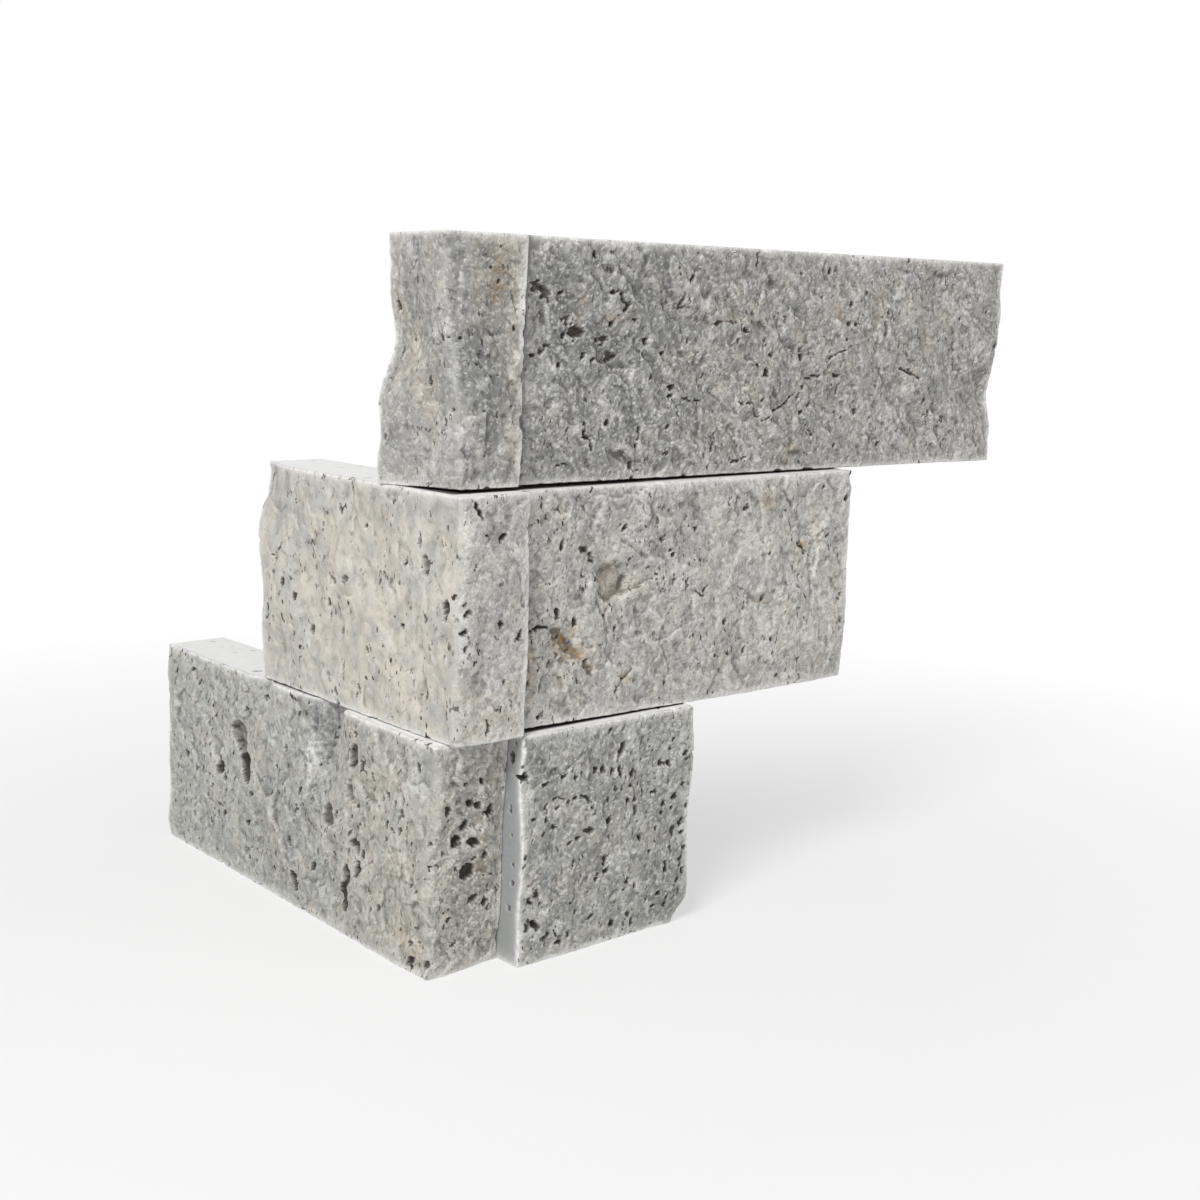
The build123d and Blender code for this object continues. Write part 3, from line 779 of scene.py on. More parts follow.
def facet_field(along, up, size, edge, salt):
    """Broken facets. Each square of a grid holds a point at a random place, and each point a plane of
    random height and tilt. A place takes the planes round it, weighed by how near their points are, the
    more steeply the sharper the edge. Returns the height, about -1 to 1, and two random tones for each
    facet, -0.5 to 0.5."""
    steps = np.array(list(np.ndindex(3, 3))) - 1
    i = np.floor(along / size).astype(int) + steps[:, :1]
    j = np.floor(up / size).astype(int) + steps[:, 1:]
    pick = SCATTER[SHUFFLE[(SHUFFLE[(i + salt) & WRAP] + j) & WRAP]]
    across = along / size - i - pick[..., 0]
    height = up / size - j - pick[..., 1]
    apart = across**2 + height**2
    share = np.exp(-edge * (apart - apart.min(axis=0)))
    share /= share.sum(axis=0)
    tilt = (pick[..., 3] - 0.5) * across + (pick[..., 4] - 0.5) * height
    surface = share * (pick[..., 2] - 0.5 + FACET_TILT * tilt)
    tones = [(share * pick[..., column]).sum(axis=0) - 0.5 for column in (5, 3)]
    return surface.sum(axis=0), *tones


def scattered_pits(along, up, spacing, share):
    """Depth of small pits. Each square of a grid may hold one, at a random place in it and taller than
    wide; share is the chance that it does. A pit is half an ellipsoid."""
    deepest = np.zeros(len(along))
    column = np.floor(along / spacing).astype(int)
    row = np.floor(up / spacing).astype(int)
    for step_along, step_up in np.ndindex(3, 3):
        i = column + step_along - 1
        j = row + step_up - 1
        pick = SCATTER[SHUFFLE[(SHUFFLE[i & WRAP] + j) & WRAP]]
        place_along, place_up, size, chance, stretch, _ = pick.T
        radius = spacing * (PIT_RADIUS + PIT_RADIUS_RANGE * size**3)
        across = (along - (i + place_along) * spacing) / radius
        height = (up - (j + place_up) * spacing) / (radius * (1.0 + stretch))
        bowl = np.sqrt(np.clip(1.0 - across**2 - height**2, 0.0, 1.0))
        deepest = np.maximum(deepest, np.where(chance < share, PIT_HOLLOW * radius * bowl, 0.0))
    return deepest


def vug_depth(vug, along, up, jags):
    """Depth of one vug: steep walls round a flatter floor, on an ellipse whose outline is broken because
    each grain of the stone is moved by its own jag."""
    turn = radians(vug.turn)
    move = vug.ragged * min(vug.half_wide, JAG_CAP)
    across = along + move * jags[0] - vug.along
    height = up + move * jags[1] - vug.up
    long = across * cos(turn) + height * sin(turn)
    wide = height * cos(turn) - across * sin(turn)
    out = np.hypot(long / vug.half_long, wide / vug.half_wide)
    wall = VUG_WALL_SHARE * smooth_between(*VUG_WALL, out)
    bowl = VUG_BOWL_SHARE * np.clip(1.0 - out**2, 0.0, 1.0)
    return vug.deep * (wall + bowl)


def crack_depth(crack, along, up, gape):
    """Depth of a crack: deepest on the line through its points, none beyond its half width, which each
    grain of the stone widens or narrows by its own gape."""
    deepest = np.zeros(len(along))
    here = np.stack([along, up], axis=1)
    for start, stop in zip(np.array(crack.points), np.array(crack.points[1:])):
        run = stop - start
        share = np.clip(((here - start) @ run) / (run @ run), 0.0, 1.0)
        away = np.linalg.norm(here - start - share[:, None] * run, axis=1) / (crack.half_wide * gape)
        deepest = np.maximum(deepest, crack.deep * np.clip(1.0 - away**2, 0.0, 1.0))
    return deepest


def ledge_drop(ledge, along, up):
    """Drop beside a ledge: full on the left of its line, fading with the distance from it, and running
    out at both ends of the line as a half sine wave does."""
    points = np.array(ledge.points, float)
    runs = np.diff(points, axis=0)
    lengths = np.linalg.norm(runs, axis=1)
    passed = np.concatenate([[0.0], np.cumsum(lengths)])
    nearest = np.full(len(along), np.inf)
    drop = np.zeros(len(along))
    for start, run, length, before in zip(points, runs, lengths, passed):
        across, height = along - start[0], up - start[1]
        share = np.clip((across * run[0] + height * run[1]) / length**2, 0.0, 1.0)
        away = np.hypot(across - share * run[0], height - share * run[1])
        on_left = run[0] * height > run[1] * across
        full = ledge.drop * np.sin(pi * (before + share * length) / passed[-1])
        drop = np.where(away < nearest, on_left * full * np.exp(-away / ledge.reach), drop)
        nearest = np.minimum(nearest, away)
    return drop


def smooth_relief(cut, width, along, up):
    """Distance of a split from its back, as on the solids: a leaning, tapering plane, its swells and two
    crossed ripples."""
    across = along / width - 0.5
    height = up / COURSE - 0.5
    out = cut.reach + cut.taper * across + (cut.lean + cut.twist * across) * height
    for swell in cut.swells:
        aside = (along - swell.along) / swell.reach_along
        above = (up - swell.up) / swell.reach_up
        out = out + swell.rise * np.exp(-(aside**2) - above**2)
    main_wave = np.sin(2 * pi * (along / LONG_WAVE + up / TALL_WAVE) + cut.phase)
    cross_wave = np.sin(2 * pi * (along / CROSS_LONG + up / CROSS_TALL) - cut.phase)
    from_bed = np.clip(np.minimum(up, COURSE - up) / BED_CALM, 0.0, 1.0)
    return out + RIPPLE * from_bed * (main_wave + CROSS_SHARE * cross_wave)


def split_surface(cut, width, along, up):
    """Relief of a split and its marks: the smooth relief, plus facets of three sizes for the flakes, the
    facets and the crystals, fine noise for the grains and noise drawn out upright for the streaks, all
    calmer near the arrises, less the ledges, pits, vugs and cracks. Returns the distance from the back, how
    dark each point is in a hole by dirt and painted shade, how shaded below a ledge, and the tone of its
    facets."""
    flat = np.stack([along, up, np.full(len(along), SPLIT_SHIFT * cut.phase)], axis=1)
    texture = cut.texture
    salt = int(SPLIT_SALT * cut.phase)
    bend_along = fractal_noise(flat / BEND_SIZE, 2)
    bend_up = fractal_noise(flat / BEND_SIZE + BEND_SHIFT, 2)
    slant = along + texture.slant * up
    flakes, flake_tone, _ = facet_field(
        slant + FLAKE_BEND * bend_along,
        (up + FLAKE_BEND * bend_up) / FLAKE_STRETCH,
        FLAKE_SIZE,
        FLAKE_EDGE,
        salt,
    )
    facets, facet_tone, _ = facet_field(
        slant + FACET_BEND * bend_up,
        up - FACET_BEND * bend_along,
        FACET_SIZE,
        FACET_EDGE,
        salt + FACET_SALT,
    )
    crystals, crystal_tone, _ = facet_field(
        along + CRYSTAL_BEND * bend_along,
        up + CRYSTAL_BEND * bend_up,
        CRYSTAL_SIZE,
        CRYSTAL_EDGE,
        salt + CRYSTAL_SALT,
    )
    grains = fractal_noise(flat / GRAIN_SIZE + GRAIN_SHIFT, 2)
    drawn_out = flat / [STREAK_SIZE, STREAK_SIZE * STREAK_STRETCH, 1.0]
    streaks = gradient_noise(drawn_out + STREAK_SHIFT)
    fine = texture.flake * flakes + texture.facet * facets + texture.crystal * crystals
    fine = fine + texture.grain * grains + texture.streak * streaks
    beside = np.minimum(np.minimum(up, COURSE - up), np.minimum(along, width - along))
    calm = CALM_LEAST + (1.0 - CALM_LEAST) * smooth_between(0.0, CALM_EDGE, beside)

    _, jag_along, jag_up = facet_field(along, up, JAG_SIZE, JAG_EDGE, salt + JAG_SALT)
    jags = (JAG * jag_along + JAG_BEND * bend_along, JAG * jag_up + JAG_BEND * bend_up)
    broken_along = along + JAG_SHARE * jags[0]
    broken_up = up + JAG_SHARE * jags[1]
    gape = np.clip(1.0 + CRACK_GAPE * jag_along, *GAPE_LIMITS)
    patchy = PATCH_MEAN + PATCH_RANGE * gradient_noise(flat / PATCH_SIZE + PATCH_SHIFT)
    pitted = texture.pitted * np.clip(patchy, *PATCH_LIMITS)
    holes = scattered_pits(broken_along, broken_up, PIT_SPACING, pitted)
    dark = smooth_between(*CAVITY_RIM, holes)
    for vug in cut.vugs:
        depth = vug_depth(vug, along, up, jags)
        calm = calm * (1.0 - vug.smooth * np.clip(depth / vug.deep, 0.0, 1.0))
        holes = np.maximum(holes, depth)
        dark = np.maximum(dark, vug.dark * smooth_between(*CAVITY_RIM, depth))
    for crack in cut.cracks:
        depth = crack_depth(crack, broken_along, broken_up, gape)
        holes = np.maximum(holes, depth)
        dark = np.maximum(dark, smooth_between(*CAVITY_RIM, depth))
    drop = shade = np.zeros(len(along))
    for ledge in cut.ledges:
        depth = ledge_drop(ledge, broken_along, broken_up)
        drop = drop + depth
        shade = shade + ledge.shade * depth / ledge.drop
    out = smooth_relief(cut, width, along, up) + calm * fine - FINE_SETBACK - drop - holes
    tone = FLAKE_TONE * flake_tone + FACET_TONE * facet_tone + CRYSTAL_TONE * crystal_tone
    return out, dark, shade, tone


def tint_strength(cut, kind, along, up):
    """Strength of one kind of tint on a split: its soft patches, added up."""
    strength = np.zeros(len(along))
    for tint in cut.tints:
        if tint.kind == kind:
            aside = (along - tint.along) / tint.reach_along
            above = (up - tint.up) / tint.reach_up
            strength = strength + tint.strength * np.exp(-(aside**2 + above**2))
    return strength


def stations(length, cell):
    """Places along a side of the box, from 0 to 1: narrow cells beside both arrises, even ones between."""
    start, stop = ARRIS_BAND[-1], length - ARRIS_BAND[-1]
    even = np.linspace(start, stop, round((stop - start) / cell) + 1)
    return np.concatenate([ARRIS_BAND[:-1], even, length - ARRIS_BAND[-2::-1]]) / length


def grid_quads(ids):
    """Quads of a grid of vertex numbers."""
    corners = [ids[:-1, :-1], ids[1:, :-1], ids[1:, 1:], ids[:-1, 1:]]
    return np.stack(corners, axis=-1).reshape(-1, 4)


def box_grid(along, up, deep):
    """Closed grid on a box from the places along its three sides, each from 0 to 1. Five sides are plain
    grids. The back is rings of its own outline, close beside its arrises, that shrink to a point.
    Returns the vertices' places and the quads and triangles, facing outwards."""
    shape = (len(along), len(up), len(deep))
    on_grid = np.zeros(shape, bool)
    on_grid[[0, -1]] = True
    on_grid[:, [0, -1]] = True
    on_grid[:, :, 0] = True
    ids = np.full(shape, -1)
    ids[on_grid] = np.arange(on_grid.sum())
    i, j, k = np.nonzero(on_grid)
    places = [np.stack([along[i], up[j], deep[k]], axis=1)]
    quads = [
        grid_quads(ids[:, :, 0]),
        grid_quads(ids[:, 0, :])[:, ::-1],
        grid_quads(ids[:, -1, :]),
        grid_quads(ids[0]),
        grid_quads(ids[-1])[:, ::-1],
    ]
    outline = np.concatenate([ids[:-1, 0, -1], ids[-1, :-1, -1], ids[:0:-1, -1, -1], ids[0, :0:-1, -1]])
    shrink = [[1.0 - 2.0 * along[ring], 1.0 - 2.0 * up[ring], 1.0] for ring in BACK_RINGS]
    shrink.append([0.5, 0.5, 1.0])
    middle = np.array([0.5, 0.5, 1.0])
    count = on_grid.sum()
    rings = [outline]
    for share in shrink:
        places.append(middle + (places[0][outline] - middle) * share)
        rings.append(count + np.arange(len(outline)))
        count += len(outline)
    places.append(middle[None])
    rings = np.array(rings)
    closed = np.concatenate([rings, rings[:, :1]], axis=1)
    quads.append(grid_quads(closed))
    last = closed[-1]
    fan = np.stack([last[:-1], last[1:], np.full(len(last) - 1, count)], axis=1)
    return np.concatenate(places), np.concatenate(quads), fan[:, ::-1]


def rounded(points, size, radius):
    """Box with rounded arrises: each point is drawn to the sphere of the given radius round the nearest
    point of the box that lies that far inside."""
    core = np.clip(points, radius[:, None], size - radius[:, None])
    out = points - core
    return core + out * (radius / np.linalg.norm(out, axis=1))[:, None]


def neighbour_mean(values, pairs):
    """Mean of each vertex's neighbours."""
    count = np.maximum(np.bincount(pairs[0], minlength=len(values)), 1)
    sums = [np.bincount(pairs[0], weights=column[pairs[1]], minlength=len(values)) for column in values.T]
    return np.stack(sums, axis=1) / count[:, None]


def standing_out(place, quads):
    """How far each vertex stands out of the surface: its distance along the normal from the mean of its
    neighbours, and from a mean that is taken over a wider patch by repeating that."""
    turned = np.roll(quads, -1, axis=1)
    pairs = np.concatenate([[quads.ravel(), turned.ravel()], [turned.ravel(), quads.ravel()]], axis=1)
    across = np.cross(place[quads[:, 2]] - place[quads[:, 0]], place[quads[:, 3]] - place[quads[:, 1]])
    normal = np.zeros_like(place)
    for k in range(3):
        weights = np.repeat(across[:, k], 4)
        normal[:, k] = np.bincount(quads.ravel(), weights=weights, minlength=len(place))
    normal /= np.maximum(np.linalg.norm(normal, axis=1, keepdims=True), 1e-9)
    wide = near = neighbour_mean(place, pairs)
    for _ in range(WIDE_STEPS):
        wide = neighbour_mean(wide, pairs)
    return ((place - near) * normal).sum(axis=1), ((place - wide) * normal).sum(axis=1)


def strip_box(strip, sizes):
    """Sawn blank of a strip before its relief: a box with rounded, chipped arrises and a few pits in its
    sawn sides. Returns its size, vertices, faces, distance to the nearest arris, depth of the pits, and
    which vertices lie on a bed or on the back."""
    face, end = strip.face, strip.end
    size = np.array([strip.run + (end.reach if end else 0.0), COURSE, face.reach])
    cells = [strip.cell, strip.cell, strip.deep_cell]
    places, quads, fan = box_grid(*(stations(side, cell) for side, cell in zip(size, cells)))
    points = places * size

    to_arris = np.sort(np.concatenate([points, size - points], axis=1), axis=1)[:, 1]
    chipped = gradient_noise(points / CHIP_SPACING + CHIP_SHIFT * face.phase)
    ragged = gradient_noise(points / RAGGED_SIZE + RAGGED_SHIFT * face.phase)
    radius = sizes.arris / MM * (1.0 + ARRIS_RAGGED * ragged)
    radius = radius + sizes.chip / MM * smooth_between(*CHIPPED_FROM, chipped + CHIP_RAGGED * ragged)
    if end:
        from_corner = np.hypot(points[:, 0] - size[0], points[:, 2])
        radius = np.minimum(radius, sizes.arris / MM * (CORNER_LEAST + from_corner / CORNER_OPENS))
        from_bed = np.minimum(points[:, 1], COURSE - points[:, 1])
        worn = sizes.corner / MM * smooth_between(*CORNER_WORN, from_bed)
        radius = radius + worn * np.exp(-((from_corner / CORNER_SPREAD) ** 2))
    for chip in strip.chips:
        apart = np.linalg.norm(points - [chip.along, chip.up, chip.deep], axis=1)
        radius = radius + chip.radius * np.exp(-((apart / chip.reach) ** 2))
    moved = rounded(points, size, np.clip(radius, *RADIUS_LIMITS))

    on_bed = (places[:, 1] == 0.0) | (places[:, 1] == 1.0)
    on_sawn_end = (places[:, 0] == 0.0) | ((places[:, 0] == 1.0) & (end is None))
    shaken = SAWN_PIT_RAGGED * ragged
    bed_pits = scattered_pits(moved[:, 0] + shaken, moved[:, 2], SAWN_PIT_SPACING, SAWN_PITTED)
    end_pits = scattered_pits(moved[:, 2] + shaken, moved[:, 1], SAWN_PIT_SPACING, SAWN_PITTED)
    inside = smooth_between(*SAWN_PIT_CLEAR, to_arris)
    pitted_bed = on_bed & (strip.deep_cell < FINE_DEEP_CELL)
    bed_pits = np.where(pitted_bed, inside * bed_pits, 0.0)
    end_pits = np.where(on_sawn_end & ~on_bed, inside * end_pits, 0.0)
    moved[:, 1] += bed_pits * np.where(places[:, 1] == 0.0, 1.0, -1.0)
    moved[:, 0] += end_pits * np.where(places[:, 0] == 0.0, 1.0, -1.0)
    return size, moved, quads, fan, to_arris, bed_pits + end_pits, on_bed, places[:, 2] == 1.0


def without_corner(place, strip):
    """Points beyond the plane of the lost corner, brought back to it, with a rough break."""
    lost = strip.lost
    corner = np.array([strip.run, -strip.face.reach, strip.course * COURSE])
    outward = np.array([1.0 / lost.along, -1.0 / lost.deep, -1.0 / lost.up])
    steep = np.linalg.norm(outward)
    rough = BREAK_ROUGH * fractal_noise(place / BREAK_SIZE, 3)
    past = ((place - corner) @ outward + 1.0) / steep + rough
    return place - np.maximum(past, 0.0)[:, None] * outward / steep


def arris_bruise_and_highlight(size, moved, to_arris, end):
    """Pale line by an arris, partly a bruised edge and partly a painted highlight: a narrow one and a faint
    wide one, weaker at the corner of face and end.
    """
    narrow = NARROW_LINE * np.exp(-((to_arris / ARRIS_NARROW) ** 2))
    wide = WIDE_LINE * np.exp(-((to_arris / ARRIS_WIDE) ** 2))
    line = narrow + wide
    if end:
        beside = np.minimum(moved[:, 1], size[1] - moved[:, 1])
        from_corner = np.hypot(moved[:, 0] - size[0], moved[:, 2])
        at_corner = (from_corner < CORNER_SPREAD) & (from_corner < beside)
        line = np.where(at_corner, CORNER_LINE * line, line)
    return line


def cover_shade(place, other):
    """Share of cover over each point by another strip's footprint, rising over a little way inside its
    edges. It is painted as the shade under that strip."""
    deep = other.face.reach + (place[:, 0] if other.end else place[:, 1])
    past = other.run - (place[:, 1] if other.end else place[:, 0])
    start = place[:, 1] + other.end.reach if other.end else place[:, 0] + JOINT_FADE[1]
    return np.prod([smooth_between(*JOINT_FADE, side) for side in (deep, past, start)], axis=0)


def strip_arrays(strip, sizes):
    """Vertices, faces and marks of one strip. The sawn box is drawn over the split relief: a point's
    distance from the back shrinks evenly from the relief at the face to nothing at the back."""
    face, end = strip.face, strip.end
    size, moved, quads, fan, to_arris, sawn_pits_and_shade, on_bed, on_back = strip_box(strip, sizes)
    length = size[0]
    along, up, deep = moved.T
    on_face = 1.0 - smooth_between(*SPLIT_FADE, deep)
    on_end = 1.0 - smooth_between(*SPLIT_FADE, length - along) if end else np.zeros(len(deep))
    by_end = on_end / np.maximum(on_face + on_end, 1e-6)
    split_share = np.clip(on_face + on_end, 0.0, 1.0)
    if end:
        on_corner = np.exp(-((np.hypot(length - along, deep) / CORNER_REACH) ** 2))
        split_share = np.where(on_bed, split_share, np.clip(split_share + on_corner, 0.0, 1.0))
        end_out, end_holes, end_shade, end_tone = split_surface(end, face.reach, deep, up)
        along = along + (along / length) ** END_SHIFT_POWER * (end_out - end.reach)
    face_out, holes, shade, tone = split_surface(face, length, along, up)
    sparkle = np.full(len(deep), SPARKLE * face.texture.crystal)
    if end:
        sparkle = sparkle + SPARKLE * (end.texture.crystal - face.texture.crystal) * by_end
        holes = holes + (end_holes - holes) * by_end
        shade = shade + (end_shade - shade) * by_end
        tone = tone + (end_tone - tone) * by_end

    from_corner = length - along if end else along
    lift = strip.joint * np.clip(1.0 - from_corner / strip.closes, 0.0, 1.0) * (1.0 - up / COURSE)
    height = strip.course * COURSE + up + lift
    out = face_out * (1.0 - deep / face.reach)
    if end:
        place = np.stack([-out, strip.run - along, height], axis=1)
    else:
        place = np.stack([along, -out, height], axis=1)
    if strip.lost:
        place = without_corner(place, strip)

    rim_light_and_shade, crest_shade = np.where(on_back, 0.0, standing_out(place, quads))
    if end:
        rim_light_and_shade, crest_shade = rim_light_and_shade * (1.0 - on_corner), crest_shade * (1.0 - on_corner)
    # Painted shade on a bed where the strip above or below covers it
    for other in LEFT_STRIPS if end else RIGHT_STRIPS:
        if abs(other.course - strip.course) == 1:
            touching = on_bed & ((up > COURSE / 2) == (other.course > strip.course))
            sawn_pits_and_shade = np.where(touching, np.maximum(sawn_pits_and_shade, cover_shade(place, other)), sawn_pits_and_shade)
    # Painted shade along the butt joint at the start of a right strip
    if strip.joint and not end:
        holes = np.maximum(holes, JOINT_SHADE * np.exp(-((along / JOINT_WIDE) ** 2)))
    marks = {
        # Holes darkened by dirt and painted shade, and painted shade at joints and on covered beds
        "hole_dirt_and_shade": np.maximum(split_share * holes, np.clip(sawn_pits_and_shade / SAWN_CAVITY_FULL, 0.0, 1.0)),
        "tone": split_share * tone,
        "sparkle": sparkle,
        # Painted highlight on standing-out rims, painted shade in crevices and in hollows
        "rim_light_and_shade": np.clip(rim_light_and_shade / RIM_FULL, -1.0, 1.0),
        "crest_shade": np.clip(crest_shade / CREST_FULL, -1.0, 1.0),
        "sawn": 1.0 - split_share,
        "arris": arris_bruise_and_highlight(size, moved, to_arris, end),
        # Painted light: the sawn beds turn near white for the light from above and their sheen
        "dust": (1.0 - split_share) * on_bed,
    }
    for kind in ("warm", "rust", "shade", "chalk"):
        strength = tint_strength(face, kind, along, up)
        if end:
            strength = strength + (tint_strength(end, kind, deep, up) - strength) * by_end
        marks[kind] = split_share * strength
    marks["shade"] += split_share * shade
    return place * MM, quads, fan, marks


def strip_object(strip, sizes):
    """Mesh object of one strip, standing in for its CAD node."""
    place, quads, fan, marks = strip_arrays(strip, sizes)
    low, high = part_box(strip.node)
    place = np.clip(place, np.array(low), np.array(high))
    mesh = bpy.data.meshes.new(strip.node + "_stone")
    mesh.vertices.add(len(place))
    mesh.vertices.foreach_set("co", place.astype(np.float32).ravel())
    loops = np.concatenate([quads.ravel(), fan.ravel()])
    mesh.loops.add(len(loops))
    mesh.loops.foreach_set("vertex_index", loops.astype(np.int32))
    starts = np.concatenate([np.arange(len(quads)) * 4, len(quads) * 4 + np.arange(len(fan)) * 3])
    mesh.polygons.add(len(starts))
    mesh.polygons.foreach_set("loop_start", starts.astype(np.int32))
    smooth = np.arange(len(starts)) < len(quads) - len(fan)
    mesh.polygons.foreach_set("use_smooth", smooth)
    mesh.update(calc_edges=True)
    for name, values in marks.items():
        attribute = mesh.attributes.new(name, "FLOAT", "POINT")
        attribute.data.foreach_set("value", values.astype(np.float32))
    stone = bpy.data.objects.new(strip.node + "_stone", mesh)
    bpy.context.scene.collection.objects.link(stone)
    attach(stone, "root")
    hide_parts(strip.node)
    return stone


class NodeSheet:
    """Short calls for adding nodes and links to a node tree."""

    def __init__(self, tree):
        self.tree = tree

    def add(self, kind, inputs=None, **settings):
        """New node with its settings, and its inputs set to values or linked to sockets."""
        node = self.tree.nodes.new(kind)
        for name, value in settings.items():
            setattr(node, name, value)
        for name, value in (inputs or {}).items():
            self.feed(node.inputs[name], value)
        return node

    def feed(self, socket, value):
        """Link an output to the socket, or set its own value."""
        if isinstance(value, bpy.types.NodeSocket):
            self.tree.links.new(value, socket)
        else:
            socket.default_value = value

    def math(self, operation, first, second=0.0, third=0.0, clamp=False):
        """Math node's output."""
        node = self.add("ShaderNodeMath", {0: first, 1: second, 2: third}, operation=operation)
        node.use_clamp = clamp
        return node.outputs[0]

    def mix(self, share, first, second, blend="MIX"):
        """Colour mix's output."""
        node = self.add("ShaderNodeMix", data_type="RGBA", blend_type=blend)
        self.feed(node.inputs["Factor"], share)
        self.feed(node.inputs[6], first)
        self.feed(node.inputs[7], second)
        return node.outputs[2]

    def noise(self, place, scale, detail, rough=0.55):
        """Noise texture's value."""
        given = {"Vector": place, "Scale": scale, "Detail": detail, "Roughness": rough}
        return self.add("ShaderNodeTexNoise", given).outputs[0]

    def ramp(self, value, low, high, start, stop):
        """Value mapped from the range low to high onto the range start to stop, and held there."""
        given = {"Value": value, 1: low, 2: high, 3: start, 4: stop}
        return self.add("ShaderNodeMapRange", given).outputs[0]

    def mark(self, name):
        """Value of a per-vertex mark."""
        return self.add("ShaderNodeAttribute", attribute_name=name).outputs["Fac"]


def new_group(name, inputs, outputs):
    """Empty shader group with named sockets. Returns the group, its sheet and its input sockets."""
    group = bpy.data.node_groups.new(name, "ShaderNodeTree")
    kinds = {"colour": "NodeSocketColor", "value": "NodeSocketFloat"}
    for socket, kind in inputs.items():
        group.interface.new_socket(socket, in_out="INPUT", socket_type=kinds[kind])
    for socket, kind in outputs.items():
        group.interface.new_socket(socket, in_out="OUTPUT", socket_type=kinds[kind])
    sheet = NodeSheet(group)
    return group, sheet, sheet.add("NodeGroupInput").outputs


def body_group():
    """Body of the stone: grey and beige clouds, upright bedding, dark and pale crystals, and painted glints.
    """
    group, sheet, given = new_group(
        "travertine_body",
        {
            "Grey": "colour", "Beige": "colour", "Shade": "colour", "Chalk": "colour",
            "Warmth": "value", "Darkness": "value", "Bedding": "value", "Clouds": "value",
            "Grain": "value",
        },
        {"Color": "colour", "Height": "value"},
    )
    place = sheet.add("ShaderNodeTexCoord").outputs["Object"]
    tall = sheet.add("ShaderNodeMapping", {"Vector": place, "Scale": (1.0, 1.0, 0.2)}).outputs[0]
    moved = sheet.add("ShaderNodeMapping", {"Vector": place, "Location": (0.31, 0.17, 0.23)}).outputs[0]
    clouds = sheet.noise(place, 60.0, 3.0)
    mottle = sheet.noise(moved, 170.0, 3.0, 0.5)
    patches = sheet.noise(place, 230.0, 3.0, 0.5)
    bedding = sheet.noise(tall, 420.0, 3.0)
    dust = sheet.noise(place, 2200.0, 2.0, 0.6)
    crystals = sheet.add("ShaderNodeTexVoronoi", {"Vector": place, "Scale": 1700.0})
    crystal = sheet.add("ShaderNodeSeparateColor", {0: crystals.outputs["Color"]}).outputs[0]
    glint_cells = sheet.add("ShaderNodeTexVoronoi", {"Vector": moved, "Scale": 800.0})
    glint_chance = sheet.add("ShaderNodeSeparateColor", {0: glint_cells.outputs["Color"]}).outputs[0]

    def grainy(value):
        """Value scaled by how strongly the crystals show."""
        return sheet.math("MULTIPLY", value, given["Grain"])

    drift = sheet.math("MULTIPLY", sheet.math("SUBTRACT", clouds, 0.5), given["Clouds"])
    drift = sheet.math("MULTIPLY_ADD", sheet.math("SUBTRACT", mottle, 0.5), 3.4, drift)
    beds = sheet.math("MULTIPLY", sheet.math("SUBTRACT", bedding, 0.5), given["Bedding"])
    warmth = sheet.math("ADD", sheet.math("ADD", given["Warmth"], drift), beds, clamp=True)
    tone = sheet.mix(warmth, given["Grey"], given["Beige"])

    facet = grainy(sheet.math("MULTIPLY", sheet.mark("tone"), 0.6))
    cool = sheet.math("ADD", sheet.ramp(patches, 0.52, 0.62, 0.0, 0.3), given["Darkness"])
    tone = sheet.mix(sheet.math("ADD", cool, facet, clamp=True), tone, given["Shade"])
    pale = sheet.math("SUBTRACT", sheet.ramp(patches, 0.44, 0.34, 0.0, 0.25), facet, clamp=True)
    tone = sheet.mix(pale, tone, given["Chalk"])
    tone = sheet.mix(grainy(sheet.ramp(crystal, 0.78, 1.0, 0.0, 0.5)), tone, given["Chalk"])
    tone = sheet.mix(grainy(sheet.ramp(crystal, 0.3, 0.0, 0.0, 0.5)), tone, given["Shade"])
    tone = sheet.mix(grainy(sheet.ramp(dust, 0.54, 0.72, 0.0, 0.5)), tone, given["Shade"])
    # Painted highlights: small white glints of crystals
    near = sheet.ramp(glint_cells.outputs["Distance"], 0.26, 0.16, 0.0, 1.0)
    glint = sheet.math("MULTIPLY", near, grainy(sheet.ramp(glint_chance, 0.7, 0.78, 0.0, 0.6)))
    tone = sheet.mix(glint, tone, given["Chalk"])

    height = sheet.math("MULTIPLY", dust, -0.5)
    height = sheet.math("MULTIPLY_ADD", crystals.outputs["Distance"], -0.9, height)
    height = grainy(sheet.math("MULTIPLY_ADD", crystal, 0.25, height))
    height = sheet.math("MULTIPLY_ADD", patches, 0.5, height)
    out = sheet.add("NodeGroupOutput")
    sheet.feed(out.inputs["Color"], tone)
    sheet.feed(out.inputs["Height"], height)
    return group


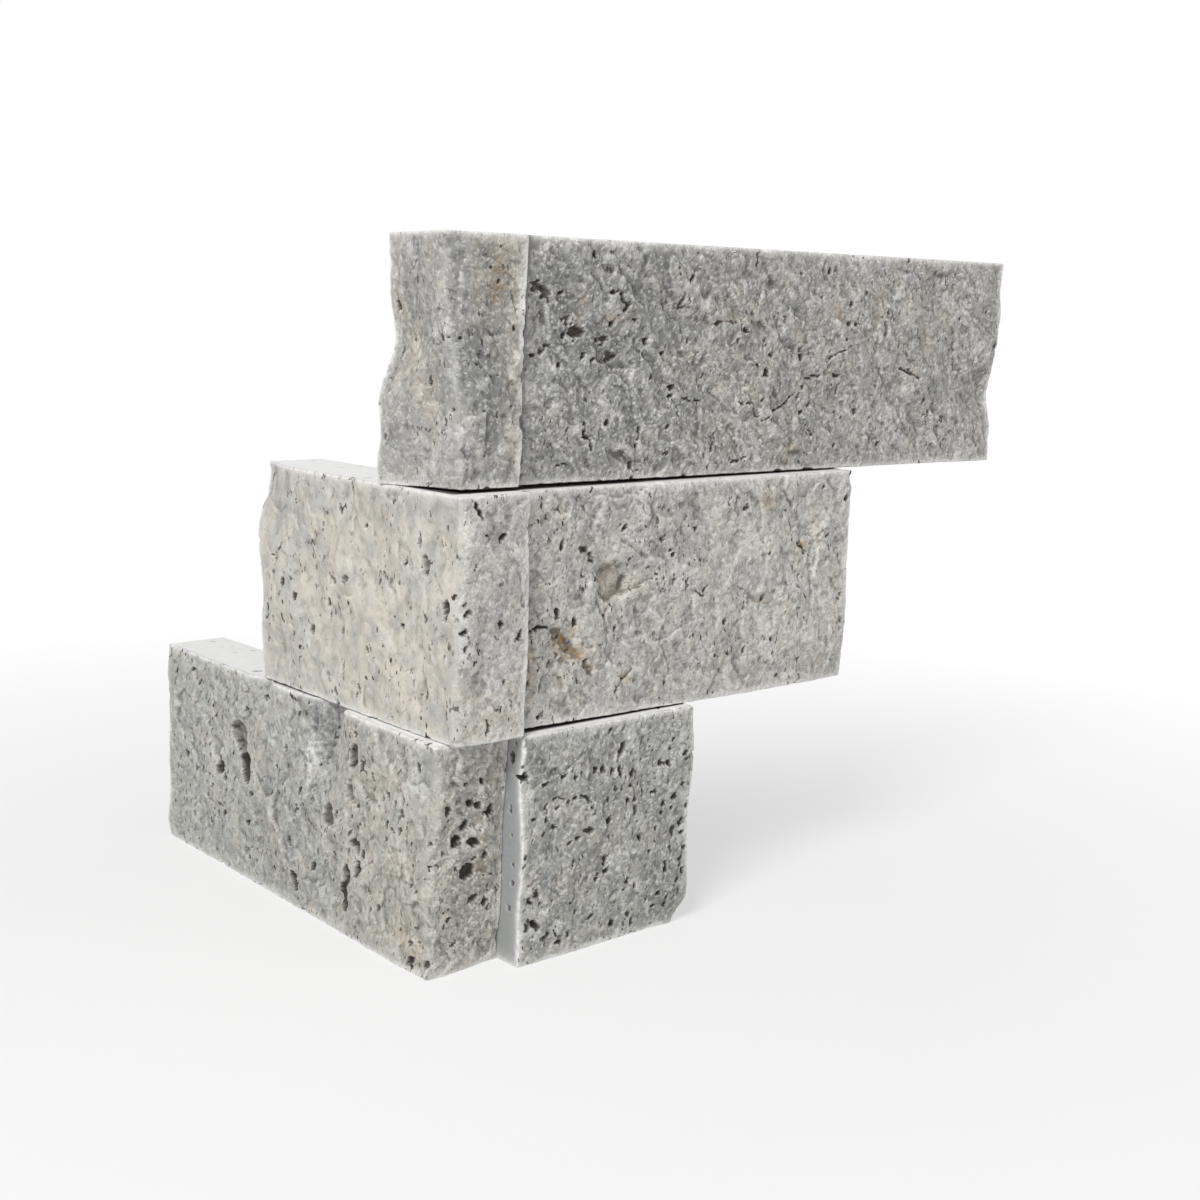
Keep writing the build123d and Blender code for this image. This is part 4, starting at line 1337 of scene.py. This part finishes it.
def wear_group():
    """What the break left on the stone, and painted light and shade: sawn sides, painted light on the sawn
    beds, pale arrises that are partly a painted highlight, painted highlights on rims, painted shade in
    crevices and hollows, specks and thin cracks, rust, and dark holes that are partly dirt and partly
    painted shade."""
    group, sheet, given = new_group(
        "travertine_wear",
        {
            "Color": "colour", "Sawn": "colour", "Bed light": "colour", "Chalk": "colour", "Rust": "colour",
            "Pit": "colour", "Cracks": "value", "Specks": "value",
        },
        {"Color": "colour", "Roughness": "value"},
    )
    place = sheet.add("ShaderNodeTexCoord").outputs["Object"]
    upright = sheet.add("ShaderNodeMapping", {"Vector": place, "Scale": (1.0, 1.0, 0.6)}).outputs[0]
    broken = sheet.noise(place, 650.0, 4.0, 0.65)
    sawn = sheet.mark("sawn")
    rim_light_and_shade = sheet.mark("rim_light_and_shade")
    crest_shade = sheet.mark("crest_shade")
    fresh = sheet.math("SUBTRACT", 1.0, sawn)

    # Sawn sides: their blue grey, partly painted shade
    tone = sheet.mix(sheet.math("MULTIPLY", sawn, 0.85), given["Color"], given["Sawn"])
    # Painted light on the sawn beds, broken up a little by noise
    bed_light = sheet.math("MULTIPLY", sheet.mark("dust"), sheet.ramp(broken, 0.35, 0.6, 0.98, 0.88))
    tone = sheet.mix(bed_light, tone, given["Bed light"])
    # Painted shade in hollows and crevices, and a painted highlight on rims that stand out
    tone = sheet.mix(sheet.ramp(crest_shade, 0.0, -1.0, 0.0, 0.5), tone, given["Pit"])
    tone = sheet.mix(sheet.ramp(rim_light_and_shade, -0.2, -1.0, 0.0, 0.35), tone, given["Pit"])
    tone = sheet.mix(sheet.ramp(rim_light_and_shade, 0.15, 1.0, 0.0, 0.3), tone, given["Chalk"])
    chalk = sheet.math("MULTIPLY", sheet.mark("chalk"), sheet.ramp(broken, 0.47, 0.56, 0.1, 1.0))
    tone = sheet.mix(chalk, tone, given["Chalk"])
    rust = sheet.math("MULTIPLY", sheet.mark("rust"), sheet.ramp(broken, 0.42, 0.62, 0.0, 1.0), clamp=True)
    tone = sheet.mix(rust, tone, given["Rust"])
    # Pale arrises: bruised edges, partly a painted highlight
    arris = sheet.math("MULTIPLY", sheet.mark("arris"), sheet.ramp(broken, 0.3, 0.6, 0.45, 1.0))
    tone = sheet.mix(arris, tone, given["Chalk"])

    lines = sheet.noise(place, 95.0, 4.0, 0.6)
    line = sheet.ramp(sheet.math("ABSOLUTE", sheet.math("SUBTRACT", lines, 0.5)), 0.008, 0.002, 0.0, 1.0)
    some = sheet.ramp(sheet.noise(place, 150.0, 2.0), 0.56, 0.66, 0.0, 1.0)
    line = sheet.math("MULTIPLY", sheet.math("MULTIPLY", line, some), given["Cracks"])
    specks = sheet.ramp(sheet.noise(upright, 900.0, 2.0, 0.5), 0.62, 0.67, 0.0, 1.0)
    cluster = sheet.ramp(sheet.noise(place, 105.0, 2.0), 0.42, 0.62, 0.05, 1.0)
    speck = sheet.math("MULTIPLY", sheet.math("MULTIPLY", specks, cluster), given["Specks"])
    spots = sheet.math("MULTIPLY", sheet.math("MAXIMUM", line, speck), fresh)
    tone = sheet.mix(spots, tone, given["Pit"])
    # Holes darkened by dirt and painted shade, and painted shade at butt joints and under the strip above
    tone = sheet.mix(sheet.math("MULTIPLY", sheet.mark("hole_dirt_and_shade"), 0.93), tone, given["Pit"])

    out = sheet.add("NodeGroupOutput")
    sheet.feed(out.inputs["Color"], tone)
    sheet.feed(out.inputs["Roughness"], sheet.ramp(sawn, 0.0, 1.0, 0.8, 0.5))
    return group


def travertine(name, grey, warm, bedding, clouds, cracks, specks, colours):
    """Material of one finish: the body of the stone, then its wear, with the body's height as bump."""
    material = bpy.data.materials.new(name)
    material.use_nodes = True
    tree = material.node_tree
    tree.nodes.clear()
    sheet = NodeSheet(tree)

    def opaque(rgb):
        """Colour with full alpha."""
        return (*rgb, 1.0)

    body = sheet.add(
        "ShaderNodeGroup",
        {
            "Grey": opaque(grey), "Beige": opaque(warm), "Shade": opaque(colours.shade),
            "Chalk": opaque(colours.chalk), "Warmth": sheet.mark("warm"), "Darkness": sheet.mark("shade"),
            "Bedding": bedding, "Clouds": clouds, "Grain": sheet.mark("sparkle"),
        },
        node_tree=bpy.data.node_groups["travertine_body"],
    )
    wear = sheet.add(
        "ShaderNodeGroup",
        {
            "Color": body.outputs["Color"], "Sawn": opaque(colours.sawn), "Bed light": opaque(colours.dust),
            "Chalk": opaque(colours.chalk), "Rust": opaque(colours.rust), "Pit": opaque(colours.pit),
            "Cracks": cracks, "Specks": specks,
        },
        node_tree=bpy.data.node_groups["travertine_wear"],
    )
    strength = sheet.ramp(sheet.mark("sawn"), 0.0, 1.0, 0.6, 0.05)
    bump = sheet.add(
        "ShaderNodeBump",
        {"Distance": 0.0003, "Height": body.outputs["Height"], "Strength": strength},
    )
    shader = sheet.add(
        "ShaderNodeBsdfPrincipled",
        {
            "Base Color": wear.outputs["Color"], "Roughness": wear.outputs["Roughness"],
            "Normal": bump.outputs["Normal"], "Specular IOR Level": 0.4,
        },
    )
    sheet.feed(sheet.add("ShaderNodeOutputMaterial").inputs["Surface"], shader.outputs["BSDF"])
    return material


def stone_material(slot):
    """Material of a slot, made at its first use."""
    name = slot + "_stone"
    if name not in bpy.data.materials:
        if "travertine_body" not in bpy.data.node_groups:
            body_group()
            wear_group()
        colours = bpy.context.scene.travertine_colours
        finishes = {
            "pitted_travertine": (colours.pitted_grey, colours.pitted_warm, 0.5, 0.9, 0.3, 1.0),
            "cream_travertine": (colours.cream_grey, colours.cream_warm, 1.0, 1.2, 0.3, 1.0),
            "silver_travertine": (colours.silver_grey, colours.silver_warm, 0.5, 0.5, 0.9, 0.9),
        }
        travertine(name, *finishes[slot], colours)
    return bpy.data.materials[name]


def build_strips(strips, sizes):
    """Each strip's mesh with its material."""
    for strip in strips:
        stone = strip_object(strip, sizes)
        stone.data.materials.append(stone_material(strip.slot))


class STONE_OT_left_strips(bpy.types.Operator):
    """Build the strips of the left leg, which run through to the outside corner"""

    bl_idname = "stone.left_strips"
    bl_label = "Left strips"

    def execute(self, context):
        build_strips(LEFT_STRIPS, context.scene.strip_sizes)
        return {"FINISHED"}


class STONE_OT_right_strips(bpy.types.Operator):
    """Build the strips of the right leg, which butt against the left ones"""

    bl_idname = "stone.right_strips"
    bl_label = "Right strips"

    def execute(self, context):
        build_strips(RIGHT_STRIPS, context.scene.strip_sizes)
        return {"FINISHED"}


def add_camera():
    """Camera at the fitted place: heading from +Y towards +X, dip below level, then roll."""
    heading, dip, roll = radians(CAMERA_HEADING), radians(CAMERA_DIP), radians(CAMERA_ROLL)
    forward = Vector((sin(heading) * cos(dip), cos(heading) * cos(dip), -sin(dip)))
    right = forward.cross(Vector((0, 0, 1))).normalized()
    up = right.cross(forward)
    across = right * cos(roll) + up * sin(roll)
    upright = up * cos(roll) - right * sin(roll)
    data = bpy.data.cameras.new("camera")
    data.lens = CAMERA_LENS
    data.sensor_width = SENSOR
    data.clip_start = CLIP_START
    camera = bpy.data.objects.new("camera", data)
    turn = Matrix((across, upright, -forward)).transposed().to_4x4()
    camera.matrix_world = Matrix.Translation(CAMERA_PLACE) @ turn
    bpy.context.scene.collection.objects.link(camera)
    bpy.context.scene.camera = camera


def add_light(name, place, size, power):
    """Square area light that looks at the lit point."""
    data = bpy.data.lights.new(name, "AREA")
    data.size = size
    data.energy = power
    light = bpy.data.objects.new(name, data)
    light.location = place
    light.rotation_euler = (Vector(LIT_POINT) - Vector(place)).to_track_quat("-Z", "Y").to_euler()
    bpy.context.scene.collection.objects.link(light)


def seen_directly(sheet):
    """1 for rays of the camera, reflections and transmission, 0 for those that light the object."""
    rays = sheet.add("ShaderNodeLightPath").outputs
    bounced = sheet.math("MAXIMUM", rays["Is Glossy Ray"], rays["Is Transmission Ray"])
    return sheet.math("MAXIMUM", rays["Is Camera Ray"], bounced)


def add_floor(tint):
    """Pale floor that fades to white away from the object, so that no horizon shows."""
    mesh = bpy.data.meshes.new("floor")
    square = [(-1, -1), (1, -1), (1, 1), (-1, 1)]
    mesh.from_pydata([(x * FLOOR_REACH, y * FLOOR_REACH, 0) for x, y in square], [], [(0, 1, 2, 3)])
    floor = bpy.data.objects.new("floor", mesh)
    bpy.context.scene.collection.objects.link(floor)
    material = bpy.data.materials.new("pale_floor")
    material.use_nodes = True
    material.node_tree.nodes.clear()
    sheet = NodeSheet(material.node_tree)
    place = sheet.add("ShaderNodeTexCoord").outputs["Object"]
    away = sheet.add("ShaderNodeVectorMath", {0: place}, operation="LENGTH").outputs["Value"]
    share = sheet.math("MULTIPLY", sheet.ramp(away, *FLOOR_FADE), seen_directly(sheet))
    matt = sheet.add("ShaderNodeBsdfDiffuse", {"Color": (*tint, 1.0)}).outputs[0]
    white = sheet.add("ShaderNodeEmission", {"Color": WHITE, "Strength": 1.0}).outputs[0]
    mixed = sheet.add("ShaderNodeMixShader", {0: share, 1: matt, 2: white})
    sheet.feed(sheet.add("ShaderNodeOutputMaterial").inputs["Surface"], mixed.outputs[0])
    mesh.materials.append(material)


def add_sky(strength):
    """Even white light, seen as plain white by the camera and in reflections."""
    world = bpy.data.worlds.new("studio")
    world.use_nodes = True
    world.node_tree.nodes.clear()
    sheet = NodeSheet(world.node_tree)
    even = sheet.add("ShaderNodeBackground", {"Color": WHITE, "Strength": strength}).outputs[0]
    white = sheet.add("ShaderNodeBackground", {"Color": WHITE, "Strength": 1.0}).outputs[0]
    mixed = sheet.add("ShaderNodeMixShader", {0: seen_directly(sheet), 1: even, 2: white})
    sheet.feed(sheet.add("ShaderNodeOutputWorld").inputs["Surface"], mixed.outputs[0])
    bpy.context.scene.world = world


class STONE_OT_stage(bpy.types.Operator):
    """Set up the floor, the light and the camera"""

    bl_idname = "stone.stage"
    bl_label = "Stage"

    def execute(self, context):
        settings = context.scene.stage_settings
        add_floor(settings.floor)
        add_sky(settings.sky)
        add_light("key", KEY_PLACE, KEY_SIZE, settings.key_power)
        add_light("fill", FILL_PLACE, FILL_SIZE, settings.fill_power)
        add_camera()
        context.scene.view_settings.view_transform = "Standard"
        return {"FINISHED"}


class STONE_PT_corner(bpy.types.Panel):
    """Panel that lists the strips, the stage and their settings"""

    bl_idname = "STONE_PT_corner"
    bl_label = "Stacked Stone Corner"
    bl_space_type = "VIEW_3D"
    bl_region_type = "UI"
    bl_category = "Stone"

    def draw(self, context):
        for operator in (STONE_OT_left_strips, STONE_OT_right_strips, STONE_OT_stage):
            self.layout.operator(operator.bl_idname)
        scene = context.scene
        for group in (scene.travertine_colours, scene.strip_sizes, scene.stage_settings):
            for name in group.__annotations__:
                self.layout.prop(group, name)


CLASSES = (
    TravertineColours,
    StripSizes,
    StageSettings,
    STONE_OT_left_strips,
    STONE_OT_right_strips,
    STONE_OT_stage,
    STONE_PT_corner,
)


def register():
    """Add the classes and their settings to Blender."""
    for kind in CLASSES:
        bpy.utils.register_class(kind)
    bpy.types.Scene.travertine_colours = PointerProperty(type=TravertineColours)
    bpy.types.Scene.strip_sizes = PointerProperty(type=StripSizes)
    bpy.types.Scene.stage_settings = PointerProperty(type=StageSettings)


def unregister():
    """Take the settings and the classes out again."""
    del bpy.types.Scene.stage_settings
    del bpy.types.Scene.strip_sizes
    del bpy.types.Scene.travertine_colours
    for kind in reversed(CLASSES):
        bpy.utils.unregister_class(kind)


def main():
    """Build everything through the operators."""
    register()
    bpy.ops.stone.left_strips()
    bpy.ops.stone.right_strips()
    bpy.ops.stone.stage()


if __name__ == "__main__":
    main()
